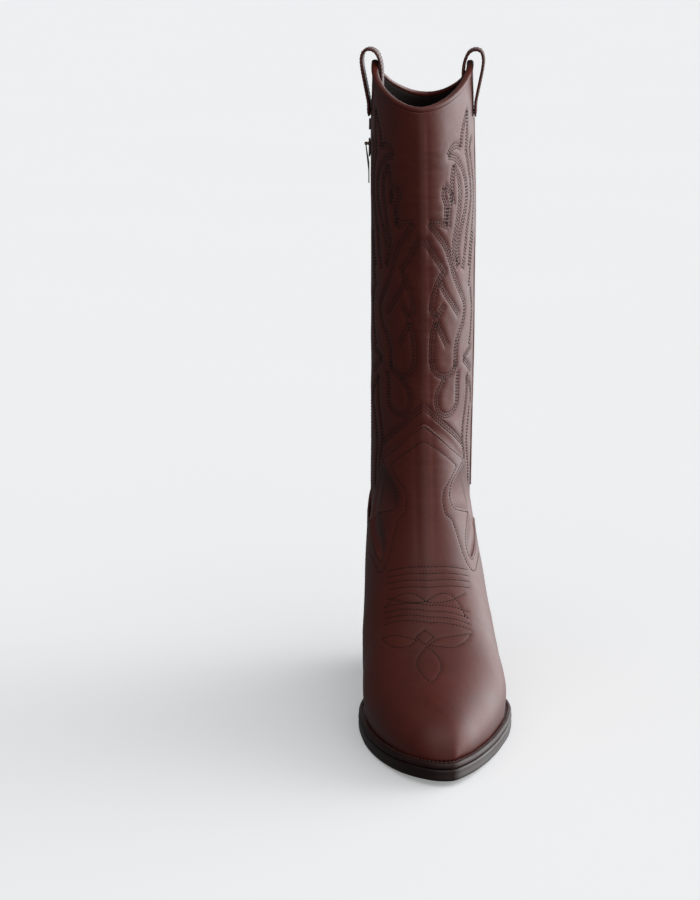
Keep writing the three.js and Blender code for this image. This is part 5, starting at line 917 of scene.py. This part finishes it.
# ------------------------------------------------------------------ stitches
def stitches(name, rows, mat, pitch=2.5, length=1.95, r=.24, sink=.06, body="boot", blend=None, depth=.7, sides=6):
    """every stitch is its own short strand of thread that dips into its holes at both ends"""
    C, T, N = [], [], []
    for pts, nr in rows:
        d = np.r_[0, np.cumsum(np.linalg.norm(np.diff(pts, axis=0), axis=1))]
        if d[-1] < pitch * 1.2: continue
        k = max(1, int(round(d[-1] / pitch))); s = (np.arange(k) + .5) * d[-1] / k
        c = np.stack([np.interp(s, d, pts[:, j]) for j in range(3)], 1); a = np.stack([np.interp(s - .4, d, pts[:, j]) for j in range(3)], 1); b = np.stack([np.interp(s + .4, d, pts[:, j]) for j in range(3)], 1); m = np.stack([np.interp(s, d, nr[:, j]) for j in range(3)], 1)
        C.append(c); T.append(b - a); N.append(m)
    C, T, N = np.vstack(C), np.vstack(T), np.vstack(N); T /= np.maximum(np.linalg.norm(T, axis=1, keepdims=True), 1e-9); N -= T * (N * T).sum(-1, keepdims=True); N /= np.maximum(np.linalg.norm(N, axis=1, keepdims=True), 1e-9); B = np.cross(T, N)
    jit = rng.normal(0, 1, (len(C), 3)); T2 = T + B * (jit[:, :1] * .05); st = [(-.5, .35, -1.0), (-.36, .85, -.25), (-.14, 1.0, .12), (.14, 1.0, .12), (.36, .85, -.25), (.5, .35, -1.0)]
    ang = np.linspace(0, 2 * np.pi, sides, endpoint=False); V = []
    for f, k, h in st:
        cen = C + T2 * (f * length * (1 + .06 * jit[:, 1:2])) + N * (r * depth * h - sink + .04 * jit[:, 2:3] * 0)
        V.append(np.stack([cen + (B * math.cos(a) + N * math.sin(a) * .8) * r * k for a in ang], 1))
    V = np.stack(V, 1); m = len(st) * sides; nS = len(C)
    one = np.array([[i * sides + j, i * sides + (j + 1) % sides, (i + 1) * sides + (j + 1) % sides, (i + 1) * sides + j] for i in range(len(st) - 1) for j in range(sides)])
    F = (one[None] + (np.arange(nS) * m)[:, None, None]).reshape(-1, 4)
    return make(name, V.reshape(-1, 3), F, mat, body, blend=blend)

def leather_rows(lines, extra, back=False):
    out = []
    for u, v, o in lines.rows:
        n = nrm(u, v); b = bil(G, u, v); out.append((b + n * (extra(u, v, o))[:, None], n))
    return out
stitches("shaft_stitching_front", leather_rows(shaft_front_rows, lambda u, v, o: rows_offset(u, v) + .17), M_THREAD, pitch=2.2, length=1.65, r=.34)
stitches("shaft_stitching_back", leather_rows(shaft_back_rows, lambda u, v, o: rows_offset(u, v, True) + .17), M_THREAD, pitch=2.2, length=1.65, r=.34)
def vamp_off(u, v, o):
    b = bil(G, u, v); a = v * halfL(u, v); r = .22 * (1.0 * noise3(b, 34) + .4 * noise3(b, 15)) - .26 + .55 * np.exp(-(a / 3.4) ** 2) * smoothstep((u - 8.6) / 2.5)
    return o + r + .17
stitches("vamp_stitching", leather_rows(vamp_lines, vamp_off), M_THREAD, pitch=2.2, length=1.65, r=.38)
stitches("counter_stitching", leather_rows(counter_lines, lambda u, v, o: o + .28 * (noise3(bil(G, u, v), 34) + .4 * noise3(bil(G, u, v), 15)) - .26 + .17), M_THREAD, pitch=2.2, length=1.65, r=.36)
# row under the collar binding, beside the piping and beside the zip
rows = []
for a, b in ((-.485, .485), (.515, 1.485)):
    ws = np.linspace(a, b, 160); ww = np.where(ws > 1, ws - 2, ws); z = collar_z(ww) - 2.6; u = u_at(ww, z); v = toV(u, ww); n = nrm(u, v); o = rows_offset(u, v, a > 0) + .16
    rows.append((P(u, v, 0) + n * o[:, None], n))
def side_row(sgn, b, z0, z1, back, a=0):
    zs = np.linspace(z0, z1, 160); w = np.full(zs.shape, sgn * .5); u = u_at(w, zs)
    v = (side_v(u) * sgn + b * sgn / halfL(u, sgn)) if sgn > 0 else v_at_zip(u, -b)
    n = nrm(u, v); o = rows_offset(u, v, back) + .16; return (P(u, v, 0) + n * o[:, None], n)
rows += [side_row(1, -2.6, 150, 401, False), side_row(1, 2.6, 172, 401, True)]
rows += [side_row(-1, -5.1, 131, 394, False), side_row(-1, 5.1, 131, 394, True), side_row(-1, -8.0, 131, 394, False), side_row(-1, 8.0, 131, 394, True)]
stitches("edge_stitching", rows, M_THREAD, pitch=2.2, length=1.6, r=.32)
# welt stitches, heavier thread
lp = inset_safe(LOOP, 2.6, 3)[fore]; ok = lp[:, 1] < 36; lp = resample(lp[ok], 1.0); zz = z_fea(lp[:, 1]) - np.where(lp[:, 1] < -10, .35, .9)
stitches("welt_stitching", [(np.column_stack([lp, zz + .34]), np.tile([0, 0, 1.], (len(lp), 1)))], M_WELTTHREAD, pitch=2.7, length=2.1, r=.52, sides=8)
for side, sgn, body in (("lateral", 1, "pull_strap_lateral"), ("medial", -1, "pull_strap_medial")):
    r_, bl = strap(side, sgn, body); stitches(f"pull_strap_stitching_{side}", r_, M_THREAD, pitch=2.4, length=1.8, r=.2, blend=bl)

# ------------------------------------------------------------------ floor, lights, camera
def floor_nodes(nt, b):
    t = NT(nt); c = t.noise(1.5, 2, .5); t.link(t.ramp(c, [(.3, (.885, .90, .915)), (.7, (.893, .908, .923))]), b.inputs["Base Color"])
    b.inputs["Emission Color"].default_value = (.97, .99, 1, 1); b.inputs["Emission Strength"].default_value = FLOOR_GLOW
FLOOR_GLOW = .235
me = bpy.data.meshes.new("floor"); me.from_pydata([(-60, -60, 0), (60, -60, 0), (60, 60, 0), (-60, 60, 0)], [], [(0, 1, 2, 3)]); floor = bpy.data.objects.new("floor", me); bpy.context.scene.collection.objects.link(floor)
me.materials.append(material("floor_paint", (.66, .67, .68), .95, floor_nodes, spec=.0)); floor.visible_diffuse = False; floor.visible_glossy = False

# studio: soft lobes of light round the boot, strongest from its lateral side; the camera sees an even backdrop
LOBES = [((.95, .30, .12), 5.2, 7, (1, .985, .985)), ((.50, .85, .15), 1.5, 9, (.98, .985, 1)), ((.14, -.48, .86), .98, 4, (1, .99, .98)), ((.30, -.94, .10), .40, 3, (1, 1, 1))]
world = bpy.data.worlds.new("studio"); bpy.context.scene.world = world; world.use_nodes = True; wt = world.node_tree; bg = wt.nodes["Background"]
wco = wt.nodes.new("ShaderNodeTexCoord").outputs["Generated"]; total = None
def wmath(op, a, b):
    m = wt.nodes.new("ShaderNodeMath"); m.operation = op
    for k, v in enumerate((a, b)):
        if isinstance(v, (int, float)): m.inputs[k].default_value = v
        else: wt.links.new(v, m.inputs[k])
    return m.outputs[0]
def wmix(mode, fac, a, b):
    m = wt.nodes.new("ShaderNodeMix"); m.data_type = "RGBA"; m.blend_type = mode; m.clamp_result = False; m.clamp_factor = False
    for k, v in ((0, fac), (6, a), (7, b)):
        if isinstance(v, (int, float)): m.inputs[k].default_value = v
        elif isinstance(v, tuple): m.inputs[k].default_value = (*v, 1)
        else: wt.links.new(v, m.inputs[k])
    return m.outputs[2]
total = (.075, .076, .078)
for d, power, n, c in LOBES:
    d = Vector(d).normalized(); dot = wt.nodes.new("ShaderNodeVectorMath"); dot.operation = "DOT_PRODUCT"; wt.links.new(wco, dot.inputs[0]); dot.inputs[1].default_value = d
    w = wmath("MULTIPLY", wmath("POWER", wmath("MAXIMUM", dot.outputs["Value"], 0.0), float(n)), float(power)); total = wmix("ADD", 1.0, total, wmix("MULTIPLY", 1.0, w, tuple(c)))
wt.links.new(wmix("MIX", wt.nodes.new("ShaderNodeLightPath").outputs["Is Camera Ray"], total, (.855, .871, .888)), bg.inputs["Color"]); bg.inputs["Strength"].default_value = 1.0

cam_d = bpy.data.cameras.new("camera"); cam = bpy.data.objects.new("camera", cam_d); bpy.context.scene.collection.objects.link(cam)
cam.location = (-.0925, -1.4667, .5204); yaw, pitch = math.radians(1.42), math.radians(-12.33)
fwd = Vector((math.sin(yaw) * math.cos(pitch), math.cos(yaw) * math.cos(pitch), math.sin(pitch))); cam.rotation_euler = fwd.to_track_quat("-Z", "Y").to_euler()
cam_d.sensor_width = 36; cam_d.lens = 91.2; cam_d.shift_y = -.0281; cam_d.clip_start, cam_d.clip_end = .05, 200; bpy.context.scene.camera = cam
vs = bpy.context.scene.view_settings; vs.view_transform = "Standard"; vs.look = "None"; vs.exposure = 0; vs.gamma = 1
